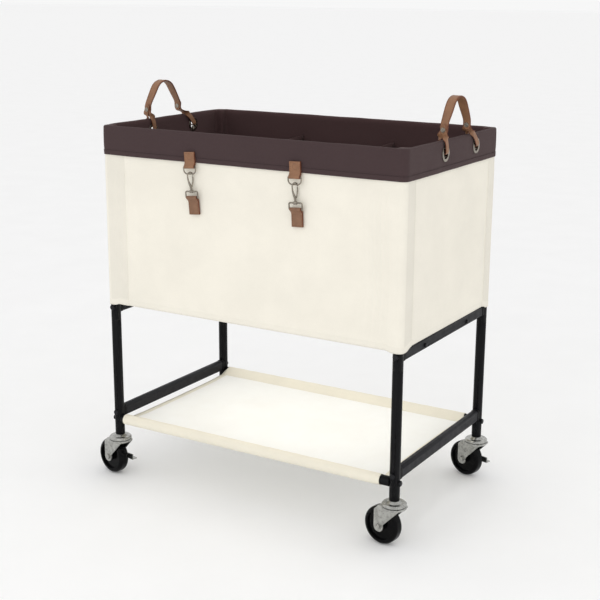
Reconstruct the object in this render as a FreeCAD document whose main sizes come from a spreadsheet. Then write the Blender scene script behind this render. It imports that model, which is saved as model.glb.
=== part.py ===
import FreeCAD, Part
import math
import os
import re

import Sketcher

# Laundry sorter on wheels: a tube frame on four stem casters, a canvas bag over the upper half of
# the posts, a dark liner whose top folds over the rim, and a fabric shelf below.
# X runs along the long side, Y to the back, Z up. The origin is on the floor under the middle.

Vector = FreeCAD.Vector
Rotation = FreeCAD.Rotation
Placement = FreeCAD.Placement

SIZES = {
    # frame
    "post_pitch_x": 650,
    "post_pitch_y": 385,
    "post_dia": 20,
    "tube_wall": 1.2,
    "post_joint_height": 344,
    "spigot_length": 40,
    "spigot_shoulder": 6,
    "rail_height": 25,
    "rail_width": 15,
    "rail_corner": 6,
    "rail_above_rod": 15,
    "upper_rail_level": 371,
    "support_bar_offset": 96,
    "screw_drop": 3,
    "saddle_length": 5,
    "saddle_margin": 0.8,
    "plug_depth": 14,
    "rod_dia": 19,
    "rod_above_foot": 33,
    "bolt_dia": 6,
    "bolt_head_dia": 11,
    "bolt_head_height": 3.6,
    "bolt_head_round": 2,
    "bolt_reach": 10,
    "screw_dia": 5,
    "screw_head_dia": 9,
    # rim
    "rim_height": 745,
    "rim_wire_dia": 4,
    "cap_head_height": 10,
    "cap_plug_depth": 20,
    # soft goods
    "canvas_thickness": 1,
    "canvas_gap": 0.4,
    "liner_thickness": 1,
    "liner_post_gap": 1.5,
    "cuff_height": 58,
    "board_thickness": 4,
    "board_margin": 2,
    "divider_thickness": 1.5,
    "divider_spacing": 222,
    "divider_drop": 46,
    "shelf_thickness": 1.2,
    "shelf_drop": 4,
    "shelf_gap_left": 0.5,
    "shelf_gap_right": 12,
    # eyelets and handles
    "eyelet_drop": 25.7,
    "eyelet_spacing": 140,
    "eyelet_bore": 20,
    "eyelet_flange_dia": 30,
    "eyelet_flange": 1.3,
    "eyelet_barrel_wall": 1.2,
    "eyelet_y": 23.5,
    "arch_y": -3,
    "handle_notch_width": 34,
    "handle_notch_below": 17,
    "strap_width": 19,
    "strap_end_width": 12,
    "strap_thickness": 3,
    "arch_rise": 76,
    "arch_radius": 34,
    "arch_spacing": 102,
    "rivet_rise": 18,
    "rivet_dia": 4,
    "rivet_head_dia": 9,
    "rivet_head_height": 1.6,
    "strap_tail": 9,
    "strap_foot_radius": 8,
    "loop_plate_height": 22,
    "loop_turn_rise": 3,
    # clasps
    "clasp_x_left": -114.7,
    "clasp_x_right": 118.3,
    "clasp_lean_left": 4.7,
    "clasp_lean_right": 2.6,
    "hook_room": 0.7,
    "clasp_tab_width": 23.8,
    "clasp_tab_thickness": 4,
    "tab_loop_radius": 3.9,
    "cuff_tab_top_drop": 38,
    "ring_bar_drop": 66,
    "ring_width": 27.6,
    "ring_height": 13.5,
    "ring_top_radius": 1.4,
    "ring_bow_radius": 8,
    "ring_wire": 2.6,
    "hook_wire": 3,
    "hook_radius": 5,
    "hook_length": 25,
    "hook_tip": 2.3,
    "hook_yaw": 50,
    "hook_base_height": 6,
    "hook_base_depth": 5,
    "gate_dia": 2.2,
    "gate_pin_dia": 1.2,
    "gate_hub_dia": 3.4,
    "collar_dia": 7,
    "collar_height": 3.2,
    "boss_dia": 7.5,
    "boss_height": 6,
    "swivel_pin_dia": 3,
    "swivel_head_dia": 5.2,
    "swivel_head_height": 1.8,
    "eye_height": 12,
    "eye_corner": 3,
    "eye_foot_corner": 1.6,
    "bag_tab_length": 33,
    # casters
    "wheel_dia": 75,
    "wheel_width": 23.4,
    "wheel_shoulder": 7,
    "hub_width": 26.4,
    "hub_dia": 20,
    "wheel_web_width": 15,
    "wheel_rim_depth": 9,
    "caster_trail": 24,
    "caster_yaw_fl": -12,
    "caster_yaw_fr": -9,
    "caster_yaw_bl": -10,
    "caster_yaw_br": -16,
    "fork_inner_width": 27.6,
    "fork_plate": 2.4,
    "fork_end_radius": 10.5,
    "wheel_headroom": 2,
    "race_dia": 47,
    "race_thickness": 4,
    "race_gap": 1.5,
    "race_top_height": 5.5,
    "race_groove_inner": 13.8,
    "race_groove_outer": 19,
    "race_groove_depth": 2.1,
    "race_bevel": 2.2,
    "ball_dia": 4.8,
    "kingpin_dia": 7.9,
    "kingpin_head_dia": 14,
    "kingpin_head_height": 3,
    "stem_dia": 10,
    "stem_length": 26,
    "stem_flange_dia": 30,
    "stem_shoulder_dia": 18,
    "stem_neck": 4.5,
    "socket_flange": 1.5,
    "socket_length": 29,
    "axle_dia": 6,
    "axle_head_dia": 11,
    "axle_head_height": 3.4,
    "lever_plate": 2,
    "lever_hub_dia": 17,
    "lever_reach": 42,
    "lever_width": 12,
    "lever_foot_length": 15,
    "lever_foot_width": 12,
    # clearances
    "fit": 0.05,
    "play": 0.1,
    "clearance": 0.3,
}

# Places that several pieces share, each worked out from the sizes above.
SHARED = {
    "post_x": "post_pitch_x / 2",
    "post_y": "post_pitch_y / 2",
    "post_radius": "post_dia / 2",
    "post_bore": "post_radius - tube_wall",
    "rail_top": "upper_rail_level + rail_height / 2",
    "rail_half_length": "post_y - post_radius - saddle_length",
    "bar_half_length": "post_x - rail_width / 2 - play",
    "rod_radius": "rod_dia / 2",
    "rod_setback": "rail_width / 2 + saddle_margin + clearance",
    "rod_half_length": "post_x - rod_setback",
    "rim_inside": "rim_height - liner_thickness - clearance",
    "post_top": "rim_inside - cap_head_height",
    "canvas_corner": "post_radius + canvas_gap + canvas_thickness",
    "canvas_x": "post_x + canvas_corner",
    "canvas_y": "post_y + canvas_corner",
    "canvas_floor": "rail_top + saddle_margin + clearance",
    "cuff_corner": "canvas_corner + clearance + liner_thickness",
    "cuff_x": "post_x + cuff_corner",
    "cuff_y": "post_y + cuff_corner",
    "cuff_bottom": "rim_height - cuff_height",
    "rim_wire_corner": "canvas_corner - canvas_thickness - clearance - rim_wire_dia / 2",
    "wire_x": "post_x + rim_wire_corner",
    "wire_y": "post_y + rim_wire_corner",
    "wire_level": "rim_inside - rim_wire_dia / 2",
    "liner_x": "wire_x - rim_wire_dia / 2 - clearance",
    "liner_y": "wire_y - rim_wire_dia / 2 - clearance",
    "notch_x": "post_x - post_radius - liner_post_gap",
    "notch_y": "post_y - post_radius - liner_post_gap",
    "board_floor": "canvas_floor + canvas_thickness + clearance",
    "liner_floor": "board_floor + board_thickness + clearance",
    "compartment_floor": "liner_floor + liner_thickness",
    "eyelet_level": "rim_height - eyelet_drop",
    "eyelet_barrel": "eyelet_bore / 2 + eyelet_barrel_wall",
    "strap_out_x": "cuff_x + eyelet_flange + 2 * clearance",
    "strap_in_x": "liner_x - liner_thickness - eyelet_flange - 2 * clearance",
    "handle_x": "cuff_x - liner_thickness",
    "rivet_level": "rim_height + rivet_rise",
    "clasp_standoff": "hook_radius + hook_wire / 2 + hook_room",
    "clasp_y": "canvas_y + clasp_standoff",
    "ring_bar_level": "rim_height - ring_bar_drop",
    "ring_bow_level": "ring_bar_level - ring_height",
    "hook_arc_level": "ring_bow_level + ring_wire / 2 + clearance - hook_radius + hook_wire / 2",
    "hook_base_level": "hook_arc_level - hook_length",
    "collar_level": "hook_base_level - collar_height",
    "eye_bar_level": "collar_level - clearance - boss_height / 2",
    "eye_loop_level": "eye_bar_level - eye_height",
    "clasp_level": "(ring_bar_level + eye_loop_level) / 2",
    "wheel_radius": "wheel_dia / 2",
    "fork_half": "fork_inner_width / 2 + fork_plate",
    "fork_crown_level": "wheel_dia + wheel_headroom",
    "race_top": "fork_crown_level + race_thickness",
    "upper_race": "race_top + race_gap",
    "stem_seat": "upper_race + race_top_height + stem_neck",
    "post_foot_height": "stem_seat + socket_flange",
    "rod_level": "post_foot_height + rod_above_foot",
    "lower_rail_level": "rod_level + rail_above_rod",
}

CORNERS = {"fl": (-1, -1), "fr": (1, -1), "bl": (-1, 1), "br": (1, 1)}
SIDES = {"left": -1, "right": 1}
BRAKED = ("fl", "br")
BALLS_PER_RACE = 8

doc = FreeCAD.newDocument("laundry_sorter")
sheet = doc.addObject("Spreadsheet::Sheet", "dims")
parts = []


# ---------------------------------------------------------------- sheet and expressions

def fill_sheet():
    for row, (alias, value) in enumerate(SIZES.items(), start=1):
        sheet.set(f"A{row}", alias)
        sheet.set(f"B{row}", str(value))
        sheet.setAlias(f"B{row}", alias)
    doc.recompute()


def formula(text):
    """Turn a formula in plain size names into one that reads the sheet."""
    def swap(match):
        word = match.group(0)
        if word in SHARED:
            return "(" + formula(SHARED[word]) + ")"
        if word in SIZES:
            return "dims." + word
        return word
    return re.sub(r"[A-Za-z_]\w*", swap, str(text))


def number(text):
    """The value of a formula, read from the sheet."""
    value = sheet.evalExpression(formula(text))
    return float(getattr(value, "Value", value))


def bind(item, target, text):
    item.setExpression(target, formula(text))


def place(item, x="0", y="0", z="0"):
    for axis, text in zip("xyz", (x, y, z)):
        bind(item, f"Placement.Base.{axis}", text)


def keep(item, label):
    """Register a finished sub-part under its node name."""
    item.Label = label
    parts.append(item)
    return item


# ---------------------------------------------------------------- solids from primitives

TURNS = {
    "x": Rotation(Vector(0, 1, 0), 90),
    "y": Rotation(Vector(1, 0, 0), -90),
    "z": Rotation(),
}


def cylinder(name, axis, start, radius, length):
    """A cylinder that grows along +axis from its start point."""
    item = doc.addObject("Part::Cylinder", name)
    item.Placement = Placement(Vector(), TURNS[axis])
    place(item, *start)
    bind(item, "Radius", radius)
    bind(item, "Height", length)
    return item


def box(name, corner, size):
    item = doc.addObject("Part::Box", name)
    place(item, *corner)
    for target, text in zip(("Length", "Width", "Height"), size):
        bind(item, target, text)
    return item


def elbow(name, centre, bend, radius, first_angle, sweep, plane="xz"):
    """Part of a torus in the XZ or XY plane, swept from its first angle."""
    item = doc.addObject("Part::Torus", name)
    turn = Rotation(Vector(0, 0, 1), first_angle)
    if plane == "xz":
        turn = Rotation(Vector(1, 0, 0), 90) * turn
    item.Placement = Placement(Vector(), turn)
    place(item, *centre)
    bind(item, "Radius1", bend)
    bind(item, "Radius2", radius)
    item.Angle3 = sweep
    return item


def fuse(name, members):
    item = doc.addObject("Part::MultiFuse", name)
    item.Shapes = members
    return item


def cut(name, base, tools):
    tool = tools[0]
    if len(tools) > 1:
        tool = fuse(name + "_tools", tools)
    item = doc.addObject("Part::Cut", name)
    item.Base = base
    item.Tool = tool
    return item


def group(label, members):
    item = doc.addObject("Part::Compound", label)
    item.Links = members
    return keep(item, label)


# ---------------------------------------------------------------- solids from sketches

def new_body(name):
    return doc.addObject("PartDesign::Body", name)


def new_sketch(body, name, plane, offset="0"):
    """A sketch on one of the body's own planes, moved along that plane's normal."""
    sketch = body.newObject("Sketcher::SketchObject", name)
    for feature in body.Origin.OriginFeatures:
        if feature.Role == plane:
            sketch.AttachmentSupport = (feature, [""])
    sketch.MapMode = "FlatFace"
    bind(sketch, "AttachmentOffset.Base.z", offset)
    return sketch


def pin_point(sketch, geometry, end, x, y):
    """Hold a point of the sketch at formulas x and y."""
    for kind, axis, text in (("DistanceX", -2, x), ("DistanceY", -1, y)):
        if text == "0":
            sketch.addConstraint(Sketcher.Constraint("PointOnObject", geometry, end, axis))
            continue
        constraint = Sketcher.Constraint(kind, -1, 1, geometry, end, number(text))
        index = sketch.addConstraint(constraint)
        bind(sketch, f"Constraints[{index}]", text)


def add_polygon(sketch, points):
    """A closed outline whose corners are given as formulas."""
    first = sketch.GeometryCount
    spots = [Vector(number(x), number(y), 0) for x, y in points]
    count = len(points)
    for index in range(count):
        sketch.addGeometry(Part.LineSegment(spots[index], spots[(index + 1) % count]))
    for index in range(count):
        following = first + (index + 1) % count
        sketch.addConstraint(Sketcher.Constraint("Coincident", first + index, 2, following, 1))
    for index, (x, y) in enumerate(points):
        pin_point(sketch, first + index, 1, x, y)


def add_circle(sketch, x, y, radius):
    centre = Vector(number(x), number(y), 0)
    circle = sketch.addGeometry(Part.Circle(centre, Vector(0, 0, 1), number(radius)))
    pin_point(sketch, circle, 3, x, y)
    index = sketch.addConstraint(Sketcher.Constraint("Radius", circle, number(radius)))
    bind(sketch, f"Constraints[{index}]", radius)


def add_rounded_rectangle(sketch, half_x, half_y, radius):
    """A rectangle about the sketch's origin, with equal corner arcs."""
    first = sketch.GeometryCount
    wide, deep, bend = number(half_x), number(half_y), number(radius)
    centres = [(wide - bend, deep - bend), (bend - wide, deep - bend),
               (bend - wide, bend - deep), (wide - bend, bend - deep)]
    for quarter, (x, y) in enumerate(centres):
        circle = Part.Circle(Vector(x, y, 0), Vector(0, 0, 1), bend)
        begin = quarter * math.pi / 2
        sketch.addGeometry(Part.ArcOfCircle(circle, begin, begin + math.pi / 2))
    ends = [((wide - bend, deep), (bend - wide, deep)), ((-wide, deep - bend), (-wide, bend - deep)),
            ((bend - wide, -deep), (wide - bend, -deep)), ((wide, bend - deep), (wide, deep - bend))]
    for (x1, y1), (x2, y2) in ends:
        sketch.addGeometry(Part.LineSegment(Vector(x1, y1, 0), Vector(x2, y2, 0)))
    for quarter in range(4):
        arc = first + quarter
        line = first + 4 + quarter
        following = first + (quarter + 1) % 4
        sketch.addConstraint(Sketcher.Constraint("Tangent", arc, 2, line, 1))
        sketch.addConstraint(Sketcher.Constraint("Tangent", line, 2, following, 1))
    for quarter in range(1, 4):
        sketch.addConstraint(Sketcher.Constraint("Equal", first, first + quarter))
    index = sketch.addConstraint(Sketcher.Constraint("Radius", first, bend))
    bind(sketch, f"Constraints[{index}]", radius)
    sketch.addConstraint(Sketcher.Constraint("Horizontal", first + 4))
    edges = [("DistanceY", first + 4, half_y, 1), ("DistanceX", first + 5, half_x, -1),
             ("DistanceY", first + 6, half_y, -1), ("DistanceX", first + 7, half_x, 1)]
    for kind, line, text, sign in edges:
        constraint = Sketcher.Constraint(kind, -1, 1, line, 1, sign * number(text))
        index = sketch.addConstraint(constraint)
        bind(sketch, f"Constraints[{index}]", f"{sign} * ({text})")


def pad(body, sketch, length, midplane=False, backward=False):
    feature = body.newObject("PartDesign::Pad", sketch.Name + "_pad")
    feature.Profile = sketch
    feature.Midplane = midplane
    feature.Reversed = backward
    bind(feature, "Length", length)
    sketch.Visibility = False
    return feature


def pocket(body, sketch, length, midplane=False, backward=False):
    """Cut against the sketch's normal, or along it when backward; it must remove material."""
    doc.recompute()
    before = body.Shape.Volume
    feature = body.newObject("PartDesign::Pocket", sketch.Name + "_pocket")
    feature.Profile = sketch
    feature.Midplane = midplane
    feature.Reversed = backward
    bind(feature, "Length", length)
    doc.recompute()
    if body.Shape.Volume >= before:
        raise RuntimeError(f"{feature.Name} removes nothing")
    return feature


def revolve(body, sketch, axis):
    feature = body.newObject("PartDesign::Revolution", sketch.Name + "_turned")
    feature.Profile = sketch
    feature.ReferenceAxis = (sketch, [axis])
    feature.Angle = 360
    return feature


def fillet(body, feature, radius, wanted):
    """Round the edges of a feature that the test picks out."""
    doc.recompute()
    names = [f"Edge{index}" for index, edge in enumerate(feature.Shape.Edges, start=1) if wanted(edge)]
    if not names:
        raise RuntimeError(f"no edges to round on {feature.Name}")
    rounded = body.newObject("PartDesign::Fillet", feature.Name + "_round")
    rounded.Base = (feature, names)
    bind(rounded, "Radius", radius)
    return rounded


def turned_body(name, profile, plane="XZ_Plane"):
    """A solid of revolution about Z from a profile of (radius, height) formulas."""
    body = new_body(name)
    sketch = new_sketch(body, name + "_profile", plane)
    add_polygon(sketch, profile)
    revolve(body, sketch, "V_Axis")
    return body


def rounded_tube(name, axis, half_length, drop="0"):
    """A rail or bar: the flat-sided tube section, run along X or Y."""
    body = new_body(name)
    plane = "XZ_Plane" if axis == "y" else "YZ_Plane"
    sketch = new_sketch(body, name + "_section", plane)
    add_rounded_rectangle(sketch, "rail_width / 2", "rail_height / 2", "rail_corner")
    add_rounded_rectangle(sketch, "rail_width / 2 - tube_wall", "rail_height / 2 - tube_wall",
                          "rail_corner - tube_wall")
    pad(body, sketch, f"2 * ({half_length})", midplane=True)
    return body


# ---------------------------------------------------------------- frame

def lower_post(corner):
    """Tube from the caster socket to the joint, drilled for the rod bolt and the rail bolt."""
    sx, sy = CORNERS[corner]
    name = "lower_post_" + corner
    spot = (f"{sx} * post_x", f"{sy} * post_y")
    length = "post_joint_height - post_foot_height"
    tube = cylinder(name + "_tube", "z", (*spot, "post_foot_height"), "post_radius", length)
    bore = cylinder(name + "_bore", "z", (*spot, "post_foot_height"), "post_bore", length)
    drill = "bolt_dia / 2 + play"
    rod_hole = cylinder(name + "_rod_hole", "x", (f"{spot[0]} - post_dia", spot[1], "rod_level"),
                        drill, "2 * post_dia")
    rail_hole = cylinder(name + "_rail_hole", "y", (spot[0], f"{spot[1]} - post_dia", "lower_rail_level"),
                         drill, "2 * post_dia")
    keep(cut(name, tube, [bore, rod_hole, rail_hole]), name)


def upper_post(corner):
    """Tube from the joint to the rim, with a spigot that slips into the lower post."""
    sx, sy = CORNERS[corner]
    name = "upper_post_" + corner
    spot = (f"{sx} * post_x", f"{sy} * post_y")
    spigot_foot = "post_joint_height - spigot_length"
    spigot_radius = "post_bore - fit"
    tube = cylinder(name + "_tube", "z", (*spot, "post_joint_height"), "post_radius",
                    "post_top - post_joint_height")
    spigot = cylinder(name + "_spigot", "z", (*spot, spigot_foot), spigot_radius,
                      "spigot_length + spigot_shoulder")
    narrow = cylinder(name + "_narrow_bore", "z", (*spot, spigot_foot), f"{spigot_radius} - tube_wall",
                      "spigot_length + spigot_shoulder")
    wide = cylinder(name + "_bore", "z", (*spot, "post_joint_height + spigot_shoulder"), "post_bore",
                    "post_top - post_joint_height - spigot_shoulder")
    hole = cylinder(name + "_rail_hole", "y", (spot[0], f"{spot[1]} - post_dia", "upper_rail_level"),
                    "bolt_dia / 2 + play", "2 * post_dia")
    return cut(name, fuse(name + "_blank", [tube, spigot]), [narrow, wide, hole])


def side_rail(name, side, level):
    body = rounded_tube(name, "y", "rail_half_length")
    place(body, f"{side} * post_x", "0", level)
    return body


def upper_side_rail(name, side):
    """The upper rail is drilled on both walls for the two support-bar screws."""
    body = side_rail(name, side, "upper_rail_level")
    sketch = new_sketch(body, name + "_drilling", "YZ_Plane")
    for sy in (-1, 1):
        add_circle(sketch, f"{sy} * support_bar_offset", "0 - screw_drop", "screw_dia / 2 + play")
    pocket(body, sketch, "2 * rail_width", midplane=True)
    keep(body, name)


def support_bar(name, sy):
    """Bar under the bag floor, between the upper side rails."""
    body = rounded_tube(name, "x", "bar_half_length")
    place(body, "0", f"{sy} * support_bar_offset", "upper_rail_level")
    keep(body, name)


def rail_plug(name, sx, sy, level):
    """Saddle and plug that close a side rail against a post, tapped for the bolt."""
    body = new_body(name)
    reach = "saddle_length + post_radius"
    outer = new_sketch(body, name + "_saddle", "XZ_Plane")
    add_rounded_rectangle(outer, "rail_width / 2 + saddle_margin", "rail_height / 2 + saddle_margin",
                          "rail_corner + saddle_margin")
    pad(body, outer, reach, backward=True)
    inner = new_sketch(body, name + "_plug", "XZ_Plane", f"0 - ({reach})")
    add_rounded_rectangle(inner, "rail_width / 2 - tube_wall - play", "rail_height / 2 - tube_wall - play",
                          "rail_corner - tube_wall - play")
    pad(body, inner, "plug_depth", backward=True)
    tap = new_sketch(body, name + "_tap", "XZ_Plane")
    add_circle(tap, "0", "0", "bolt_dia / 2 + fit")
    pocket(body, tap, f"{reach} + plug_depth")
    cope = new_sketch(body, name + "_cope", "XY_Plane")
    add_circle(cope, "0", "0", "post_radius + play")
    pocket(body, cope, "2 * rail_height", midplane=True)
    if sy > 0:
        body.Placement = Placement(Vector(), Rotation(Vector(0, 0, 1), 180))
    place(body, f"{sx} * post_x", f"{sy} * post_y", level)
    return body


def bar_plug(name, sx, sy):
    """Block in a support bar's end that takes the screw."""
    half = "rail_width / 2 - tube_wall - play"
    start = "bar_half_length - plug_depth" if sx > 0 else "0 - bar_half_length"
    block = box(name + "_block", (start, f"{sy} * support_bar_offset - ({half})",
                                  "upper_rail_level - rail_height / 2 + rail_corner"),
                ("plug_depth", f"2 * ({half})", "rail_height - 2 * rail_corner"))
    axis = (start, f"{sy} * support_bar_offset", "upper_rail_level - screw_drop")
    hole = cylinder(name + "_hole", "x", axis, "screw_dia / 2 + fit", "plug_depth")
    return cut(name, block, [hole])


def shelf_rod(name, sy):
    """Tube under the shelf's edge, coped to the posts at both ends."""
    start = ("0 - rod_half_length", f"{sy} * post_y", "rod_level")
    length = "2 * rod_half_length"
    tube = cylinder(name + "_tube", "x", start, "rod_radius", length)
    bore = cylinder(name + "_bore", "x", start, "rod_radius - tube_wall", length)
    keep(cut(name, tube, [bore, *post_copes(name, sy)]), name)


def post_copes(name, sy):
    return [cylinder(f"{name}_cope_{side}", "z", (f"{sx} * post_x", f"{sy} * post_y", "rod_level - rod_dia"),
                     "post_radius + play", "2 * rod_dia") for side, sx in SIDES.items()]


def rod_plug(name, sx, sy):
    """Plug in a shelf rod's end, coped to the post and tapped for the bolt."""
    reach = "post_radius + plug_depth - rod_setback"
    first = f"rod_half_length - ({reach})" if sx > 0 else "0 - rod_half_length"
    start = (first, f"{sy} * post_y", "rod_level")
    plug = cylinder(name + "_blank", "x", start, "rod_radius - tube_wall - play", reach)
    tap = cylinder(name + "_tap", "x", start, "bolt_dia / 2 + fit", reach)
    cope = cylinder(name + "_cope", "z", (f"{sx} * post_x", f"{sy} * post_y", "rod_level - rod_dia"),
                    "post_radius + play", "2 * rod_dia")
    return cut(name, plug, [tap, cope])


def bolt(name, shank_dia, head_dia, shank_length):
    """A domed head above Z = 0 and its shank below."""
    body = turned_body(name, [
        ("0", f"0 - ({shank_length})"),
        (f"{shank_dia} / 2", f"0 - ({shank_length})"),
        (f"{shank_dia} / 2", "0"),
        (f"{head_dia} / 2", "0"),
        (f"{head_dia} / 2", "bolt_head_height"),
        ("0", "bolt_head_height"),
    ])
    top = number("bolt_head_height")
    fillet(body, body.Tip, "bolt_head_round",
           lambda edge: abs(edge.BoundBox.ZMin - top) < 1e-6 and abs(edge.BoundBox.ZMax - top) < 1e-6)
    return body


def aim(item, direction):
    """Turn a piece that points along +Z so that it points along a direction."""
    item.Placement = Placement(Vector(), Rotation(Vector(0, 0, 1), Vector(*direction)))


def frame_bolts():
    """Bolts through the posts: along X into the shelf rods, along Y into the side rails."""
    made = []
    length = "post_dia + bolt_reach"
    for corner, (sx, sy) in CORNERS.items():
        rod_bolt = bolt(f"rod_bolt_{corner}", "bolt_dia", "bolt_head_dia", length)
        aim(rod_bolt, (sx, 0, 0))
        place(rod_bolt, f"{sx} * (post_x + post_radius)", f"{sy} * post_y", "rod_level")
        made.append(rod_bolt)
        for tier, level in (("lower", "lower_rail_level"), ("upper", "upper_rail_level")):
            rail_bolt = bolt(f"{tier}_rail_bolt_{corner}", "bolt_dia", "bolt_head_dia", length)
            aim(rail_bolt, (0, sy, 0))
            place(rail_bolt, f"{sx} * post_x", f"{sy} * (post_y + post_radius)", level)
            made.append(rail_bolt)
    group("frame_bolts", made)


def support_screws():
    """Screws through the upper side rails into the support bars."""
    made = []
    for side, sx in SIDES.items():
        for end, sy in (("front", -1), ("back", 1)):
            screw = bolt(f"support_screw_{side}_{end}", "screw_dia", "screw_head_dia",
                         "rail_width + bolt_reach")
            aim(screw, (sx, 0, 0))
            place(screw, f"{sx} * (post_x + rail_width / 2)", f"{sy} * support_bar_offset",
                  "upper_rail_level - screw_drop")
            made.append(screw)
    group("support_screws", made)


def wire_ring(name, half_width, height, top_radius, bottom_radius, wire_radius):
    """A closed wire loop in the XZ plane: top bar at Z = 0, bottom bar at Z = -height."""
    inner_top = f"{half_width} - ({top_radius})"
    inner_bottom = f"{half_width} - ({bottom_radius})"
    members = [
        cylinder(name + "_top", "x", (f"0 - ({inner_top})", "0", "0"), wire_radius, f"2 * ({inner_top})"),
        cylinder(name + "_bottom", "x", (f"0 - ({inner_bottom})", "0", f"0 - ({height})"), wire_radius,
                 f"2 * ({inner_bottom})"),
    ]
    side_length = f"{height} - ({top_radius}) - ({bottom_radius})"
    for side, sx in SIDES.items():
        top_angle = 0 if sx > 0 else 90
        bottom_angle = 270 if sx > 0 else 180
        members.append(elbow(f"{name}_top_{side}", (f"{sx} * ({inner_top})", "0", f"0 - ({top_radius})"),
                             top_radius, wire_radius, top_angle, 90))
        members.append(elbow(f"{name}_bottom_{side}",
                             (f"{sx} * ({inner_bottom})", "0", f"({bottom_radius}) - ({height})"),
                             bottom_radius, wire_radius, bottom_angle, 90))
        members.append(cylinder(f"{name}_side_{side}", "z",
                                (f"{sx} * ({half_width})", "0", f"({bottom_radius}) - ({height})"),
                                wire_radius, side_length))
    return fuse(name, members)


def rim_wire():
    """Closed wire loop that carries the rim, laid in the slots of the post caps."""
    ring = wire_ring("rim_wire", "wire_x", "2 * wire_y", "rim_wire_corner", "rim_wire_corner",
                     "rim_wire_dia / 2")
    ring.Placement = Placement(Vector(), Rotation(Vector(1, 0, 0), -90))
    place(ring, "0", "wire_y", "wire_level")
    keep(ring, "rim_wire")


def post_cap(corner):
    """Plug in the post's top whose head has a slot for the rim wire."""
    sx, sy = CORNERS[corner]
    body = new_body("post_cap_" + corner)
    head = new_sketch(body, f"post_cap_{corner}_head", "XY_Plane")
    add_circle(head, "0", "0", "post_radius")
    pad(body, head, "cap_head_height")
    plug = new_sketch(body, f"post_cap_{corner}_plug", "XY_Plane")
    add_circle(plug, "0", "0", "post_bore - fit")
    pad(body, plug, "cap_plug_depth", backward=True)
    place(body, f"{sx} * post_x", f"{sy} * post_y", "post_top")
    slot = new_body(f"post_cap_{corner}_slot")
    section = new_sketch(slot, f"post_cap_{corner}_slot_section", "XY_Plane",
                         "rim_inside - rim_wire_dia - clearance")
    half = "(rim_wire_dia / 2 + clearance)"
    add_rounded_rectangle(section, f"wire_x + {half}", f"wire_y + {half}", f"rim_wire_corner + {half}")
    add_rounded_rectangle(section, f"wire_x - {half}", f"wire_y - {half}", f"rim_wire_corner - {half}")
    pad(slot, section, "cap_head_height")
    return cut("slotted_cap_" + corner, body, [slot])


# ---------------------------------------------------------------- soft goods

def cross_outline(inset):
    """Corners of the liner's plan: a rectangle notched round the four posts."""
    x, nx = f"liner_x - ({inset})", f"notch_x - ({inset})"
    y, ny = f"liner_y - ({inset})", f"notch_y - ({inset})"
    quarter = [(x, ny), (nx, ny), (nx, y)]
    points = []
    for sx, sy in ((1, 1), (-1, 1), (-1, -1), (1, -1)):
        run = quarter if sx == sy else quarter[::-1]
        points += [(f"{sx} * ({px})", f"{sy} * ({py})") for px, py in run]
    return points


def outer_bag():
    """Canvas bag: a wall on all sides and a floor with a hole for each post."""
    body = new_body("outer_bag")
    wall = new_sketch(body, "canvas_wall", "XY_Plane", "canvas_floor")
    add_rounded_rectangle(wall, "canvas_x", "canvas_y", "canvas_corner")
    add_rounded_rectangle(wall, "canvas_x - canvas_thickness", "canvas_y - canvas_thickness",
                          "canvas_corner - canvas_thickness")
    pad(body, wall, "rim_inside - canvas_floor")
    floor = new_sketch(body, "canvas_floor_panel", "XY_Plane", "canvas_floor")
    add_rounded_rectangle(floor, "canvas_x - canvas_thickness / 2", "canvas_y - canvas_thickness / 2",
                          "canvas_corner - canvas_thickness / 2")
    for sx, sy in CORNERS.values():
        add_circle(floor, f"{sx} * post_x", f"{sy} * post_y", "post_radius + canvas_gap - play")
    pad(body, floor, "canvas_thickness")
    for side, sx in SIDES.items():
        notch = new_sketch(body, "canvas_notch_" + side, "YZ_Plane", f"{sx} * (canvas_x + clearance)")
        for sy in (-1, 1):
            middle = f"eyelet_y + {sy} * eyelet_spacing / 2"
            half = "handle_notch_width / 2"
            add_polygon(notch, [
                (f"{middle} - {half}", "eyelet_level - handle_notch_below"),
                (f"{middle} + {half}", "eyelet_level - handle_notch_below"),
                (f"{middle} + {half}", "rim_height"),
                (f"{middle} - {half}", "rim_height"),
            ])
        pocket(body, notch, "2 * canvas_thickness", backward=sx < 0)
    keep(body, "outer_bag")


def liner_bag():
    """Liner: floor and walls inside the posts, folded over the rim into the outside cuff."""
    body = new_body("liner_bag")
    wall = new_sketch(body, "liner_wall", "XY_Plane", "liner_floor")
    add_polygon(wall, cross_outline("0"))
    add_polygon(wall, cross_outline("liner_thickness"))
    pad(body, wall, "rim_height - liner_floor")
    floor = new_sketch(body, "liner_floor_panel", "XY_Plane", "liner_floor")
    add_polygon(floor, cross_outline("liner_thickness / 2"))
    pad(body, floor, "liner_thickness")
    fold = new_sketch(body, "liner_fold", "XY_Plane", "rim_height - liner_thickness")
    add_rounded_rectangle(fold, "cuff_x - liner_thickness / 2", "cuff_y - liner_thickness / 2",
                          "cuff_corner - liner_thickness / 2")
    add_polygon(fold, cross_outline("liner_thickness / 2"))
    pad(body, fold, "liner_thickness")
    cuff = new_sketch(body, "cuff_skirt", "XY_Plane", "cuff_bottom")
    add_rounded_rectangle(cuff, "cuff_x", "cuff_y", "cuff_corner")
    add_rounded_rectangle(cuff, "cuff_x - liner_thickness", "cuff_y - liner_thickness",
                          "cuff_corner - liner_thickness")
    pad(body, cuff, "cuff_height")
    for side, sx in SIDES.items():
        holes = new_sketch(body, "eyelet_holes_" + side, "YZ_Plane", f"{sx} * (cuff_x + clearance)")
        for sy in (-1, 1):
            add_circle(holes, f"eyelet_y + {sy} * eyelet_spacing / 2", "eyelet_level",
                       "eyelet_barrel + clearance")
        pocket(body, holes, "cuff_x - liner_x + liner_thickness + 2 * clearance", backward=sx < 0)
    keep(body, "liner_bag")


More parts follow.
